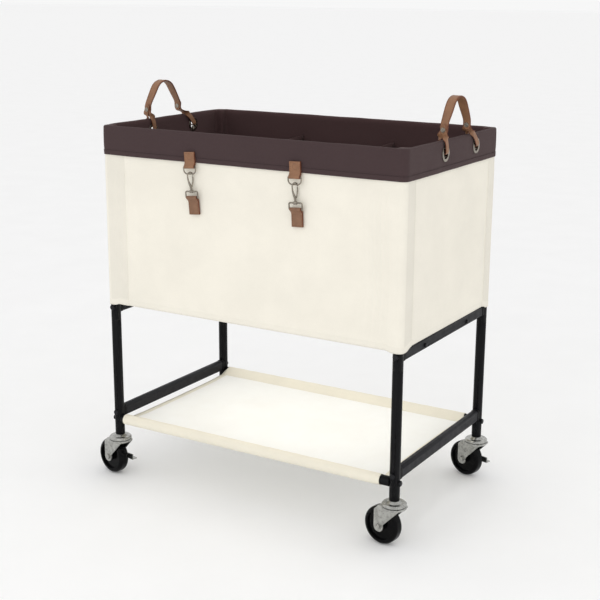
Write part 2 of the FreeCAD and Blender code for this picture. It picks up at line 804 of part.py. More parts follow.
def base_board():
    """Stiff board between the canvas floor and the liner floor."""
    body = new_body("base_board")
    sketch = new_sketch(body, "board_outline", "XY_Plane", "board_floor")
    add_polygon(sketch, cross_outline("board_margin"))
    pad(body, sketch, "board_thickness")
    keep(body, "base_board")


def divider(side, sx):
    """Fabric wall across the liner, between two compartments."""
    half_depth = "(liner_y - liner_thickness - clearance)"
    floor = "compartment_floor + clearance"
    near_face = f"{sx} * divider_spacing / 2 - divider_thickness / 2"
    wall = box("divider_" + side, (near_face, f"0 - {half_depth}", floor),
               ("divider_thickness", f"2 * {half_depth}", f"rim_height - divider_drop - ({floor})"))
    keep(wall, "divider_" + side)


def shelf_sheet():
    """Fabric shelf with a sleeve round each shelf rod."""
    first = "0 - (post_x - post_radius - shelf_gap_left)"
    length = "2 * (post_x - post_radius) - shelf_gap_left - shelf_gap_right"
    inner = "rod_radius + clearance"
    outer = f"{inner} + shelf_thickness"
    blanks = [box("shelf_panel", (first, "0 - post_y", "rod_level - shelf_drop"),
                  (length, "post_pitch_y", "shelf_thickness"))]
    bores = []
    for end, sy in (("front", -1), ("back", 1)):
        start = (first, f"{sy} * post_y", "rod_level")
        blanks.append(cylinder(f"shelf_sleeve_{end}", "x", start, outer, length))
        bores.append(cylinder(f"shelf_bore_{end}", "x", start, inner, length))
    keep(cut("shelf_sheet", fuse("shelf_blank", blanks), bores), "shelf_sheet")


# ---------------------------------------------------------------- eyelets and handles

def eyelet(side, sx, sy):
    """Metal ring through the cuff and the liner wall, flanged on both sides."""
    name = f"eyelet_{side}_{'front' if sy < 0 else 'back'}"
    half_gap = "(cuff_x - liner_x + liner_thickness) / 2"
    reach = f"{half_gap} + eyelet_flange"
    body = turned_body(name, [
        ("eyelet_bore / 2", f"0 - ({reach})"),
        ("eyelet_flange_dia / 2", f"0 - ({reach})"),
        ("eyelet_flange_dia / 2", f"0 - ({half_gap}) - play"),
        ("eyelet_barrel", f"0 - ({half_gap}) - play"),
        ("eyelet_barrel", f"{half_gap} + play"),
        ("eyelet_flange_dia / 2", f"{half_gap} + play"),
        ("eyelet_flange_dia / 2", reach),
        ("eyelet_bore / 2", reach),
    ])
    aim(body, (sx, 0, 0))
    place(body, f"{sx} * (cuff_x + liner_x - liner_thickness) / 2",
          f"eyelet_y + {sy} * eyelet_spacing / 2", "eyelet_level")
    return body


def section(x, y, z, width_x, width_y):
    """A level rectangle about a point, as a closed wire."""
    corners = [Vector(x + sx * width_x / 2, y + sy * width_y / 2, z)
               for sx, sy in ((-1, -1), (1, -1), (1, 1), (-1, 1), (-1, -1))]
    return Part.makePolygon(corners)


def handle_loop(side, sx):
    """Both strap ends of one handle: down outside, through the eyelet, up inside to the rivet."""
    thick = number("strap_thickness")
    end_width = number("strap_end_width")
    half_strap = number("strap_width / 2")
    turn = number("eyelet_level - loop_turn_rise")
    over_rim = number("rim_height + clearance")
    plate_foot = number("rivet_level - loop_plate_height / 2")
    middle = sx * number("handle_x")
    out_x = sx * (number("strap_out_x") + thick / 2)
    in_x = sx * (number("strap_in_x") - thick / 2)
    ends = []
    for sy in (-1, 1):
        eye_y = number(f"eyelet_y + {sy} * eyelet_spacing / 2")
        plate_y = number(f"arch_y + {sy} * (arch_spacing / 2 + strap_thickness + clearance)")
        lean = (over_rim - turn) / (plate_foot - turn)
        over_y = eye_y + (plate_y - eye_y) * lean
        pieces = []
        for leg_x in (out_x, in_x):
            quarter = math.copysign(half_strap / 2, leg_x - middle)
            sections = [section(leg_x, eye_y, turn, thick, end_width),
                        section(leg_x, over_y, over_rim, thick, end_width * (1 - lean) + thick * lean),
                        section(middle + quarter, plate_y, plate_foot, half_strap, thick)]
            pieces.append(Part.makeLoft(sections, True, True))
        low = min(out_x, in_x) - thick / 2
        span = abs(out_x - in_x) + thick
        pieces.append(Part.makeBox(span, end_width, thick, Vector(low, eye_y - end_width / 2, turn)))
        pieces.append(Part.makeBox(2 * half_strap, thick, number("loop_plate_height"),
                                   Vector(middle - half_strap, plate_y - thick / 2, plate_foot)))
        solid = pieces[0].multiFuse(pieces[1:])
        hole = Part.makeCylinder(number("rivet_dia / 2 + fit"), 4 * thick,
                                 Vector(middle, plate_y - 2 * thick, number("rivet_level")), Vector(0, 1, 0))
        ends.append(solid.cut(hole))
    item = doc.addObject("Part::Feature", "handle_loop_" + side)
    item.Shape = Part.makeCompound(ends)
    keep(item, "handle_loop_" + side)


def handle_arch(side, sx):
    """Strap over the hand: two upright ends, two leaning legs and a round top."""
    half = number("arch_spacing / 2")
    thick = number("strap_thickness")
    radius = number("arch_radius")
    foot = number("rivet_level - strap_tail")
    knee = number("rivet_level + strap_tail")
    hub = number("rim_height + arch_rise - arch_radius - strap_thickness / 2")
    rise = hub - knee
    touch = math.acos(radius / math.hypot(half, rise)) - math.atan2(rise, half)
    rim = []
    feet = []
    for offset in (-thick / 2, thick / 2):
        bend = radius + offset
        knee_y = half + offset
        touch_y = bend * math.cos(touch)
        touch_z = hub + bend * math.sin(touch)
        for sy in (-1, 1):
            feet.append(Vector(0, sy * knee_y, foot))
            rim.append(Part.makeLine(feet[-1], Vector(0, sy * knee_y, knee)))
            rim.append(Part.makeLine(Vector(0, sy * knee_y, knee), Vector(0, sy * touch_y, touch_z)))
        arc = Part.Arc(Vector(0, -touch_y, touch_z), Vector(0, 0, hub + bend), Vector(0, touch_y, touch_z))
        rim.append(arc.toShape())
    rim.append(Part.makeLine(feet[0], feet[2]))
    rim.append(Part.makeLine(feet[1], feet[3]))
    face = Part.Face(Part.Wire(Part.__sortEdges__(rim)))
    strap = face.extrude(Vector(number("strap_width"), 0, 0))
    strap.translate(Vector(-number("strap_width / 2"), 0, 0))
    # rounded ends turn about the rivets without touching the loop straps below
    low_edges = [edge for edge in strap.Edges if edge.BoundBox.ZMax < foot + number("fit")]
    corners = [edge for edge in low_edges if edge.Length < 2 * thick]
    strap = strap.makeFillet(number("strap_foot_radius"), corners)
    hole = Part.makeCylinder(number("rivet_dia / 2 + fit"), 4 * half,
                             Vector(0, -2 * half, number("rivet_level")), Vector(0, 1, 0))
    item = doc.addObject("Part::Feature", "handle_arch_" + side)
    item.Shape = strap.cut(hole)
    place(item, f"{sx} * handle_x", "arch_y", "0")
    keep(item, "handle_arch_" + side)


def handle_rivets():
    """One rivet at each strap end, through the loop plate and the arch."""
    made = []
    for side, sx in SIDES.items():
        for end, sy in (("front", -1), ("back", 1)):
            name = f"rivet_{side}_{end}"
            grip = "strap_thickness + clearance / 2"
            rivet = turned_body(name, [
                ("0", f"0 - ({grip}) - rivet_head_height"),
                ("rivet_head_dia / 2", f"0 - ({grip}) - rivet_head_height"),
                ("rivet_head_dia / 2", f"0 - ({grip}) - clearance"),
                ("rivet_dia / 2", f"0 - ({grip}) - clearance"),
                ("rivet_dia / 2", f"{grip} + clearance"),
                ("rivet_head_dia / 2", f"{grip} + clearance"),
                ("rivet_head_dia / 2", f"{grip} + rivet_head_height"),
                ("0", f"{grip} + rivet_head_height"),
            ])
            aim(rivet, (0, sy, 0))
            joint_y = "(arch_spacing / 2 + strap_thickness / 2 + clearance / 2)"
            place(rivet, f"{sx} * handle_x", f"arch_y + {sy} * {joint_y}", "rivet_level")
            made.append(rivet)
    group("handle_rivets", made)


# ---------------------------------------------------------------- clasps

def hang(item, side, level, yaw=0):
    """Put a clasp piece at its level on the clasp's line, which leans to the left at the top."""
    lean = f"(0 - clasp_lean_{side}) * 1 deg"
    turn = Rotation(Vector(0, 1, 0), -number(f"clasp_lean_{side}"))
    item.Placement = Placement(Vector(), turn * Rotation(Vector(0, 0, 1), yaw))
    place(item, f"clasp_x_{side} + ({level} - clasp_level) * sin({lean})", "0 - clasp_y",
          f"clasp_level + ({level} - clasp_level) * cos({lean})")


def cuff_tab(side):
    """Leather tab on the cuff whose lower fold holds the D-ring's bar."""
    name = "cuff_tab_" + side
    half = "clasp_tab_width / 2"
    back = "clasp_y - cuff_y - clearance - clasp_tab_thickness"
    plate = box(name + "_plate", (f"0 - {half}", back, "0"),
                ("clasp_tab_width", "clasp_tab_thickness",
                 "rim_height - cuff_tab_top_drop - ring_bar_level"))
    fold = (f"0 - {half}", "0", "0")
    barrel = cylinder(name + "_fold", "x", fold, "tab_loop_radius", "clasp_tab_width")
    bore = cylinder(name + "_bore", "x", fold, "ring_wire / 2 + clearance", "clasp_tab_width")
    tab = cut(name, fuse(name + "_blank", [plate, barrel]), [bore])
    hang(tab, side, "ring_bar_level")
    keep(tab, name)


def bag_tab(side):
    """Leather tab on the canvas whose upper fold holds the hook's eye."""
    name = "bag_tab_" + side
    half = "clasp_tab_width / 2"
    back = "clasp_standoff - clearance - clasp_tab_thickness"
    plate = box(name + "_plate", (f"0 - {half}", back, "0 - bag_tab_length"),
                ("clasp_tab_width", "clasp_tab_thickness", "bag_tab_length"))
    fold = (f"0 - {half}", "0", "0")
    barrel = cylinder(name + "_fold", "x", fold, "tab_loop_radius", "clasp_tab_width")
    bore = cylinder(name + "_bore", "x", fold, "hook_wire / 2 + clearance", "clasp_tab_width")
    tab = cut(name, fuse(name + "_blank", [plate, barrel]), [bore])
    hang(tab, side, "eye_loop_level")
    keep(tab, name)


def d_ring(side):
    name = "d_ring_" + side
    ring = wire_ring(name, "ring_width / 2", "ring_height", "ring_top_radius", "ring_bow_radius",
                     "ring_wire / 2")
    hang(ring, side, "ring_bar_level")
    keep(ring, name)


def swivel_eye(side):
    """Rectangular eye in the bag tab, with the boss that the hook turns in."""
    name = "swivel_eye_" + side
    ring = wire_ring(name + "_ring", "ring_width / 2", "eye_height", "eye_corner", "eye_foot_corner",
                     "hook_wire / 2")
    boss = cylinder(name + "_boss", "z", ("0", "0", "0 - boss_height / 2"), "boss_dia / 2", "boss_height")
    bore = cylinder(name + "_bore", "z", ("0", "0", "0 - boss_height"), "swivel_pin_dia / 2 + fit",
                    "2 * boss_height")
    eye = cut(name, fuse(name + "_blank", [ring, boss]), [bore])
    hang(eye, side, "eye_bar_level")
    keep(eye, name)


def snap_hook(side):
    """Hook in its own XZ plane, Z = 0 at the base: pin and collar below, arm and tip above."""
    name = "snap_hook_" + side
    wire = "hook_wire / 2"
    under_boss = "0 - collar_height - clearance - boss_height - clearance"
    half_base = "hook_radius + hook_wire / 2"
    members = [
        cylinder(name + "_pin", "z", ("0", "0", under_boss), "swivel_pin_dia / 2",
                 f"0 - ({under_boss})"),
        cylinder(name + "_head", "z", ("0", "0", f"{under_boss} - swivel_head_height"), "swivel_head_dia / 2",
                 "swivel_head_height"),
        cylinder(name + "_collar", "z", ("0", "0", "0 - collar_height"), "collar_dia / 2", "collar_height"),
        box(name + "_base", (f"0 - ({half_base})", "0 - hook_base_depth / 2", "0"),
            (f"2 * ({half_base})", "hook_base_depth", "hook_base_height")),
        cylinder(name + "_arm", "z", ("0 - hook_radius", "0", "0"), wire, "hook_length"),
        elbow(name + "_bend", ("0", "0", "hook_length"), "hook_radius", wire, 0, 180),
        cylinder(name + "_tip", "z", ("hook_radius", "0", "hook_length - hook_tip"), wire, "hook_tip"),
    ]
    slot_width = "gate_dia + 2 * clearance"
    slot_start = "hook_radius - gate_hub_dia / 2 - clearance"
    slot = box(name + "_slot", (slot_start, f"0 - ({slot_width}) / 2",
                                "hook_base_height / 2 - gate_hub_dia / 2 - clearance"),
               ("2 * hook_radius", slot_width, "hook_base_height"))
    slotted = cut(name + "_slotted", fuse(name + "_blank", members), [slot])
    pin_start = ("hook_radius", "0 - hook_base_depth / 2", "hook_base_height / 2")
    pin = cylinder(name + "_gate_pin", "y", pin_start, "gate_pin_dia / 2", "hook_base_depth")
    hook = fuse(name, [slotted, pin])
    hang(hook, side, "hook_base_level", number("hook_yaw"))
    keep(hook, name)


def gate(side):
    """Sprung gate: a hub on the hook's pin and a bar up to the tip."""
    name = "gate_" + side
    hub_width = "gate_dia - 2 * play"
    hub = cylinder(name + "_hub", "y", ("hook_radius", f"0 - ({hub_width}) / 2", "hook_base_height / 2"),
                   "gate_hub_dia / 2", hub_width)
    bar = cylinder(name + "_bar", "z", ("hook_radius", "0", "hook_base_height / 2 + gate_hub_dia / 4"),
                   "gate_dia / 2",
                   "hook_length - hook_tip - clearance - hook_base_height / 2 - gate_hub_dia / 4")
    bore = cylinder(name + "_bore", "y", ("hook_radius", "0 - gate_dia", "hook_base_height / 2"),
                    "gate_pin_dia / 2 + fit", "2 * gate_dia")
    item = cut(name, fuse(name + "_blank", [hub, bar]), [bore])
    hang(item, side, "hook_base_level", number("hook_yaw"))
    keep(item, name)


# ---------------------------------------------------------------- casters

def place_caster(item, corner):
    """Caster pieces are drawn about the swivel axis at floor level, trailing towards -X."""
    sx, sy = CORNERS[corner]
    item.Placement = Placement(Vector(), Rotation(Vector(0, 0, 1), number("caster_yaw_" + corner)))
    place(item, f"{sx} * post_x", f"{sy} * post_y")


def caster_socket(corner):
    """Plastic bush in the post's foot that grips the caster stem."""
    sx, sy = CORNERS[corner]
    socket = turned_body("caster_socket_" + corner, [
        ("stem_dia / 2 + fit", "stem_seat"),
        ("post_radius", "stem_seat"),
        ("post_radius", "post_foot_height"),
        ("post_bore - fit", "post_foot_height"),
        ("post_bore - fit", "post_foot_height + socket_length"),
        ("stem_dia / 2 + fit", "post_foot_height + socket_length"),
    ])
    place(socket, f"{sx} * post_x", f"{sy} * post_y")
    return socket


def caster_stem(corner):
    """Stem, upper ball race and kingpin, which stay still while the fork swivels."""
    sx, sy = CORNERS[corner]
    head = "fork_crown_level - clearance - kingpin_head_height"
    stem = turned_body("caster_stem_" + corner, [
        ("0", head),
        ("kingpin_head_dia / 2", head),
        ("kingpin_head_dia / 2", f"{head} + kingpin_head_height"),
        ("kingpin_dia / 2", f"{head} + kingpin_head_height"),
        ("kingpin_dia / 2", "upper_race"),
        ("race_groove_inner", "upper_race"),
        ("race_groove_inner", "upper_race + race_groove_depth"),
        ("race_groove_outer", "upper_race + race_groove_depth"),
        ("race_groove_outer", "upper_race"),
        ("race_dia / 2", "upper_race"),
        ("race_dia / 2", "upper_race + race_top_height - race_bevel"),
        ("race_dia / 2 - race_bevel", "upper_race + race_top_height"),
        ("stem_flange_dia / 2", "upper_race + race_top_height"),
        ("stem_shoulder_dia / 2", "stem_seat"),
        ("stem_dia / 2", "stem_seat"),
        ("stem_dia / 2", "stem_seat + stem_length"),
        ("0", "stem_seat + stem_length"),
    ])
    place(stem, f"{sx} * post_x", f"{sy} * post_y")
    return stem


def race_balls(corner):
    """Balls between the upper race and the fork crown."""
    sx, sy = CORNERS[corner]
    made = []
    pitch_radius = "(race_groove_inner + race_groove_outer) / 2"
    for index in range(BALLS_PER_RACE):
        ball = doc.addObject("Part::Sphere", f"ball_{corner}_{index}")
        bind(ball, "Radius", "ball_dia / 2")
        angle = 2 * math.pi * index / BALLS_PER_RACE
        place(ball, f"{sx} * post_x + {math.cos(angle):.9f} * {pitch_radius}",
              f"{sy} * post_y + {math.sin(angle):.9f} * {pitch_radius}", "race_top + race_gap / 2")
        made.append(ball)
    return made


def caster_fork(corner):
    """Pressed fork: crown plate with the lower race, and two legs to the axle."""
    name = "caster_fork_" + corner
    body = new_body(name)
    side_view = new_sketch(body, name + "_side", "XZ_Plane")
    rear = "0 - caster_trail - fork_end_radius"
    front = "fork_end_radius - caster_trail"
    add_polygon(side_view, [
        (rear, "wheel_radius - fork_end_radius"),
        (front, "wheel_radius - fork_end_radius"),
        (front, "wheel_radius + fork_end_radius / 2"),
        ("race_dia / 2 - race_thickness", "fork_crown_level"),
        ("race_dia / 2 - race_thickness", "race_top"),
        ("0 - caster_trail", "race_top"),
        (rear, "race_top - fork_end_radius"),
    ])
    blank = pad(body, side_view, "2 * fork_half", midplane=True)
    foot = number("wheel_radius - fork_end_radius")
    fillet(body, blank, "fork_end_radius - fit",
           lambda edge: abs(edge.BoundBox.ZMax - foot) < 1e-6 and edge.BoundBox.XLength < 1e-6)
    hollow = new_sketch(body, name + "_hollow", "YZ_Plane")
    add_polygon(hollow, [
        ("fork_inner_width / 2", "0"),
        ("fork_inner_width / 2", "fork_crown_level"),
        ("0 - fork_inner_width / 2", "fork_crown_level"),
        ("0 - fork_inner_width / 2", "0"),
    ])
    pocket(body, hollow, "4 * (caster_trail + fork_end_radius)", midplane=True)
    crown = new_sketch(body, name + "_crown", "XY_Plane", "fork_crown_level")
    add_circle(crown, "0", "0", "race_dia / 2")
    pad(body, crown, "race_thickness")
    groove = new_sketch(body, name + "_groove", "XY_Plane", "race_top")
    add_circle(groove, "0", "0", "race_groove_outer")
    add_circle(groove, "0", "0", "race_groove_inner")
    pocket(body, groove, "race_groove_depth")
    bore = new_sketch(body, name + "_bore", "XY_Plane", "race_top")
    add_circle(bore, "0", "0", "kingpin_dia / 2 + fit")
    pocket(body, bore, "race_thickness")
    axle_hole = new_sketch(body, name + "_axle_hole", "XZ_Plane")
    add_circle(axle_hole, "0 - caster_trail", "wheel_radius", "axle_dia / 2 + fit")
    pocket(body, axle_hole, "4 * fork_half", midplane=True)
    place_caster(body, corner)
    keep(body, name)


def axle_line(body, name):
    """A sketch in the XY plane whose V axis is the wheel's axle."""
    sketch = new_sketch(body, name, "XY_Plane", "wheel_radius")
    bind(sketch, "AttachmentOffset.Base.x", "0 - caster_trail")
    return sketch


def caster_wheel(corner):
    """Solid wheel: round-shouldered tread, thinner web and a hub."""
    name = "caster_wheel_" + corner
    body = new_body(name)
    half = [
        ("axle_dia / 2 + fit", "hub_width / 2"),
        ("hub_dia / 2", "hub_width / 2"),
        ("hub_dia / 2", "wheel_web_width / 2"),
        ("wheel_radius - wheel_rim_depth", "wheel_web_width / 2"),
        ("wheel_radius - wheel_rim_depth", "wheel_width / 2"),
        ("wheel_radius", "wheel_width / 2"),
    ]
    profile = half + [(x, f"0 - {y}") for x, y in half[::-1]]
    add_polygon(axle_line(body, name + "_profile"), profile)
    turned = revolve(body, body.Group[0], "V_Axis")
    rim = number("wheel_dia")
    fillet(body, turned, "wheel_shoulder",
           lambda edge: edge.BoundBox.YLength < 1e-6 and abs(edge.BoundBox.ZLength - rim) < 1e-6)
    place_caster(body, corner)
    keep(body, name)


def caster_axle(corner):
    """Axle bolt through the fork and wheel, with its nut outside the brake lever if there is one."""
    name = "caster_axle_" + corner
    body = new_body(name)
    near = "0 - fork_half - play"
    far = "fork_half + play"
    if corner in BRAKED:
        far = "fork_half + lever_plate + 2 * clearance"
    profile = [
        ("0", f"{near} - axle_head_height"),
        ("axle_head_dia / 2", f"{near} - axle_head_height"),
        ("axle_head_dia / 2", near),
        ("axle_dia / 2", near),
        ("axle_dia / 2", far),
        ("axle_head_dia / 2", far),
        ("axle_head_dia / 2", f"{far} + axle_head_height"),
        ("0", f"{far} + axle_head_height"),
    ]
    add_polygon(axle_line(body, name + "_profile"), profile)
    revolve(body, body.Group[0], "V_Axis")
    place_caster(body, corner)
    keep(body, name)


def brake_lever(corner):
    """Side brake lever: turns on the axle outside the fork, with a foot beyond the wheel."""
    name = "brake_lever_" + corner
    inner = "fork_half + clearance"
    hub = cylinder(name + "_hub", "y", ("0 - caster_trail", inner, "wheel_radius"), "lever_hub_dia / 2",
                   "lever_plate")
    arm = box(name + "_arm", ("0 - caster_trail", inner, "wheel_radius - lever_width / 2"),
              ("lever_reach", "lever_plate", "lever_width"))
    foot = box(name + "_foot", ("lever_reach - caster_trail - lever_foot_length", inner,
                                "wheel_radius - lever_width / 2"),
               ("lever_foot_length", "lever_foot_width", "lever_plate"))
    bore = cylinder(name + "_bore", "y", ("0 - caster_trail", "0", "wheel_radius"), "axle_dia / 2 + fit",
                    "2 * fork_half")
    lever = cut(name, fuse(name + "_blank", [hub, arm, foot]), [bore])
    place_caster(lever, corner)
    keep(lever, name)


# ---------------------------------------------------------------- the whole object

def build_frame():
    for corner in CORNERS:
        lower_post(corner)
    group("upper_posts", [upper_post(corner) for corner in CORNERS])
    for side, sx in SIDES.items():
        keep(side_rail("lower_side_rail_" + side, sx, "lower_rail_level"), "lower_side_rail_" + side)
        upper_side_rail("upper_side_rail_" + side, sx)
    for end, sy in (("front", -1), ("back", 1)):
        shelf_rod("shelf_rod_" + end, sy)
        support_bar("support_bar_" + end, sy)
    plugs = []
    for corner, (sx, sy) in CORNERS.items():
        plugs.append(rail_plug("lower_rail_plug_" + corner, sx, sy, "lower_rail_level"))
        plugs.append(rail_plug("upper_rail_plug_" + corner, sx, sy, "upper_rail_level"))
        plugs.append(rod_plug("rod_plug_" + corner, sx, sy))
        plugs.append(bar_plug("bar_plug_" + corner, sx, sy))
    group("tube_end_plugs", plugs)
    frame_bolts()
    support_screws()
    group("post_caps", [post_cap(corner) for corner in CORNERS])
    rim_wire()


def build_soft_goods():
    outer_bag()
    liner_bag()
    base_board()
    shelf_sheet()
    for side, sx in SIDES.items():
        divider(side, sx)
    group("eyelets", [eyelet(side, sx, sy) for side, sx in SIDES.items() for sy in (-1, 1)])
    for side, sx in SIDES.items():
        handle_loop(side, sx)
        handle_arch(side, sx)
    handle_rivets()


def build_clasps():
    for side in SIDES:
        cuff_tab(side)
        bag_tab(side)
        d_ring(side)
        swivel_eye(side)
        snap_hook(side)
        gate(side)


def build_casters():
    group("caster_sockets", [caster_socket(corner) for corner in CORNERS])
    group("caster_stems", [caster_stem(corner) for corner in CORNERS])
    group("caster_balls", [ball for corner in CORNERS for ball in race_balls(corner)])
    for corner in CORNERS:
        caster_fork(corner)
        caster_wheel(corner)
        caster_axle(corner)
    for corner in BRAKED:
        brake_lever(corner)


def check_document():
    for item in doc.Objects:
        if "Invalid" in item.State or "Error" in item.State:
            raise RuntimeError(f"{item.Name} failed: {item.State}")
    for part in parts:
        if part.Shape.isNull() or not part.Shape.isValid():
            raise RuntimeError(f"{part.Label} has no valid shape")


def export_parts():
    os.makedirs("parts", exist_ok=True)
    for part in parts:
        part.Shape.exportStep(f"parts/{part.Label}.step")


fill_sheet()
build_frame()
build_soft_goods()
build_clasps()
build_casters()
doc.recompute()
check_document()
export_parts()
print(len(parts), "sub-parts written")
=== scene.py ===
import math

import bmesh
import bpy
from mathutils import Matrix, Vector, noise


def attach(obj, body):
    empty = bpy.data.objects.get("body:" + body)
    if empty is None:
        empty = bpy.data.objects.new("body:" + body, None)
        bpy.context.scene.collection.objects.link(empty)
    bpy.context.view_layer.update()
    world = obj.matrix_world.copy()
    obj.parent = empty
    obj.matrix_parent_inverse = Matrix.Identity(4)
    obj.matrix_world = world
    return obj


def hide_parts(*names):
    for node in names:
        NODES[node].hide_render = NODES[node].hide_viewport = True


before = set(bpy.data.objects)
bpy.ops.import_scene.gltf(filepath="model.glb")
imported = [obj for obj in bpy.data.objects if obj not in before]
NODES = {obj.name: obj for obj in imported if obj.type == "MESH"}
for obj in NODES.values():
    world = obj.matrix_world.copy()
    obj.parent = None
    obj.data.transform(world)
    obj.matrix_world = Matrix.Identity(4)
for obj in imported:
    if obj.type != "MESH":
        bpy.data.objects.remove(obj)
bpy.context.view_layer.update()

# The looks of a laundry sorter on wheels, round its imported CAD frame.
# X runs along the long side, Y to the back, Z up; metres.

MM = 0.001
SIDES = {"left": -1, "right": 1}

POST_X, POST_Y, POST_R = 0.325, 0.1925, 0.010
# upright seams of the canvas, by wall: places along it, and the way to the near post
SEAMS = {"front": ((-0.282, -1),), "back": ((0.282, 1),),
         "right": ((-0.1625, -1), (0.1625, 1)), "left": ((-0.1625, -1), (0.1625, 1))}
RIM_Z = 0.745
CUFF_FOOT = 0.687
LINER_X, LINER_Y = 0.3303, 0.1978
NOTCH_X, NOTCH_Y = 0.3130, 0.1805
FLOOR_Z = 0.3917
DIVIDER_X = 0.111
ROD_Z, ROD_R = 0.127, 0.0095
EYE_Y, EYE_Z, EYE_SPACING = 0.0235, 0.7193, 0.140
ARCH_Y, ARCH_HALF = -0.003, 0.051
HANDLE_X = 0.3367
RIVET_Z = 0.763
CLASPS = {"left": (-0.1147, 4.7), "right": (0.1183, 2.6)}
CLASP_Y = -0.2111
RING_BAR_Z, EYE_LOOP_Z = 0.679, 0.6201
CLASP_MID_Z = (RING_BAR_Z + EYE_LOOP_Z) / 2

EYELETS_Y = [EYE_Y + sy * EYE_SPACING / 2 for sy in (-1, 1)]
# a spot farther out than this along X is on one of the bag's two short walls
SHORT_WALL_X = 0.3
CANVAS_R = POST_R + 1.15 * MM
CUFF_R = POST_R + 2.35 * MM
LOOP_PITCH = 4.0 * MM
WELD = 0.01 * MM
EDGE_SEGMENTS, EDGE_ANGLE = 2, 40
WIRE_STEPS, WIRE_SIDES = 40, 14
WIRE_TIP = (0.35, 0.8, 1.0)


# ---------------------------------------------------------------- materials

class Nodes:
    """A new material with its shader, and short ways to add and join nodes."""

    def __init__(self, name, **shader):
        self.material = bpy.data.materials.new(name)
        self.material.use_nodes = True
        self.tree = self.material.node_tree
        self.shader = self.tree.nodes["Principled BSDF"]
        for socket, value in shader.items():
            self.shader.inputs[socket.replace("_", " ")].default_value = value
        self.place = self.add("ShaderNodeTexCoord")

    def add(self, kind, settings=(), **inputs):
        node = self.tree.nodes.new(kind)
        for key, value in dict(settings).items():
            setattr(node, key, value)
        for socket, value in inputs.items():
            self.put(node.inputs[socket.replace("_", " ")], value)
        return node

    def put(self, socket, value):
        if isinstance(value, bpy.types.NodeSocket):
            self.tree.links.new(value, socket)
        else:
            socket.default_value = value

    def where(self, kind="Object"):
        return self.place.outputs[kind]

    def scaled(self, kind, scale):
        node = self.add("ShaderNodeMapping", Vector=self.where(kind))
        node.inputs["Scale"].default_value = scale
        return node.outputs["Vector"]

    def noise(self, scale, detail=3.0, rough=0.55, vector=None):
        node = self.add("ShaderNodeTexNoise", Scale=scale, Detail=detail, Roughness=rough)
        self.put(node.inputs["Vector"], vector or self.where())
        return node.outputs["Fac"]

    def voronoi(self, scale, vector=None):
        node = self.add("ShaderNodeTexVoronoi", Scale=scale)
        self.put(node.inputs["Vector"], vector or self.where())
        return node.outputs["Distance"]

    def wave(self, pitch, direction, wobble):
        """A sine wave of a pitch in metres across U or V."""
        node = self.add("ShaderNodeTexWave", {"bands_direction": direction}, Scale=0.314159 / pitch,
                        Distortion=wobble, Detail=1.0, Detail_Scale=0.6)
        self.put(node.inputs["Vector"], self.where("UV"))
        return node.outputs["Fac"]

    def math(self, operation, first, second=0.0):
        node = self.add("ShaderNodeMath", {"operation": operation})
        self.put(node.inputs[0], first)
        self.put(node.inputs[1], second)
        return node.outputs[0]

    def spread(self, value, low, high, start=0.3, end=0.7):
        """A value remapped from start..end to low..high."""
        node = self.add("ShaderNodeMapRange", Value=value)
        for socket, number in zip(("From Min", "From Max", "To Min", "To Max"), (start, end, low, high)):
            node.inputs[socket].default_value = number
        return node.outputs[0]

    def ramp(self, value, colours, start=0.3, end=0.7):
        node = self.add("ShaderNodeValToRGB", Fac=value)
        stops = node.color_ramp.elements
        while len(stops) < len(colours):
            stops.new(0.5)
        for index, colour in enumerate(colours):
            stops[index].position = start + (end - start) * index / (len(colours) - 1)
            stops[index].color = (*colour, 1)
        return node.outputs["Color"]

    def blend(self, amount, first, second):
        """A colour between the first, at 0, and the second, at 1."""
        node = self.add("ShaderNodeMix", {"data_type": "RGBA"})
        self.put(node.inputs[0], amount)
        self.put(node.inputs[6], first)
        self.put(node.inputs[7], second)
        return node.outputs[2]

    def bump(self, height, distance, strength=1.0, under=None):
        node = self.add("ShaderNodeBump", Height=height, Distance=distance, Strength=strength)
        if under:
            self.put(node.inputs["Normal"], under)
        return node.outputs["Normal"]

    def finish(self, colour=None, roughness=None, normal=None):
        for socket, value in (("Base Color", colour), ("Roughness", roughness), ("Normal", normal)):
            if value is not None:
                self.put(self.shader.inputs[socket], value)
        return self.material


def linear(red, green, blue):
    """A display colour, 0 to 255, as the shader's linear values."""
    return tuple(((c / 255 + 0.055) / 1.055) ** 2.4 if c > 10 else c / 255 / 12.92
                 for c in (red, green, blue))


def shade(colour, factor):
    return tuple(min(c * factor, 1) for c in colour)


def painted(name, colour, roughness=0.42, gloss=0.22):
    """Powder coat: fine orange peel, faint mottling, and edges rubbed a little lighter."""
    m = Nodes(name, Specular_IOR_Level=gloss)
    peel = m.noise(900, 2)
    patches = m.noise(14, 4)
    speck = m.noise(2600, 1)
    base = m.ramp(patches, [shade(colour, 0.86), shade(colour, 1.14)])
    rubbed = m.spread(m.add("ShaderNodeNewGeometry").outputs["Pointiness"], 0, 0.5, 0.53, 0.60)
    worn = m.math("MULTIPLY", rubbed, m.spread(m.noise(160, 3), 0, 1, 0.42, 0.62))
    tint = m.blend(worn, base, (*shade(colour, 2.4), 1))
    rough = m.math("ADD", m.spread(m.noise(60, 4), roughness - 0.06, roughness + 0.08),
                   m.spread(speck, -0.02, 0.02))
    return m.finish(tint, rough, m.bump(peel, 0.00005, 0.5))


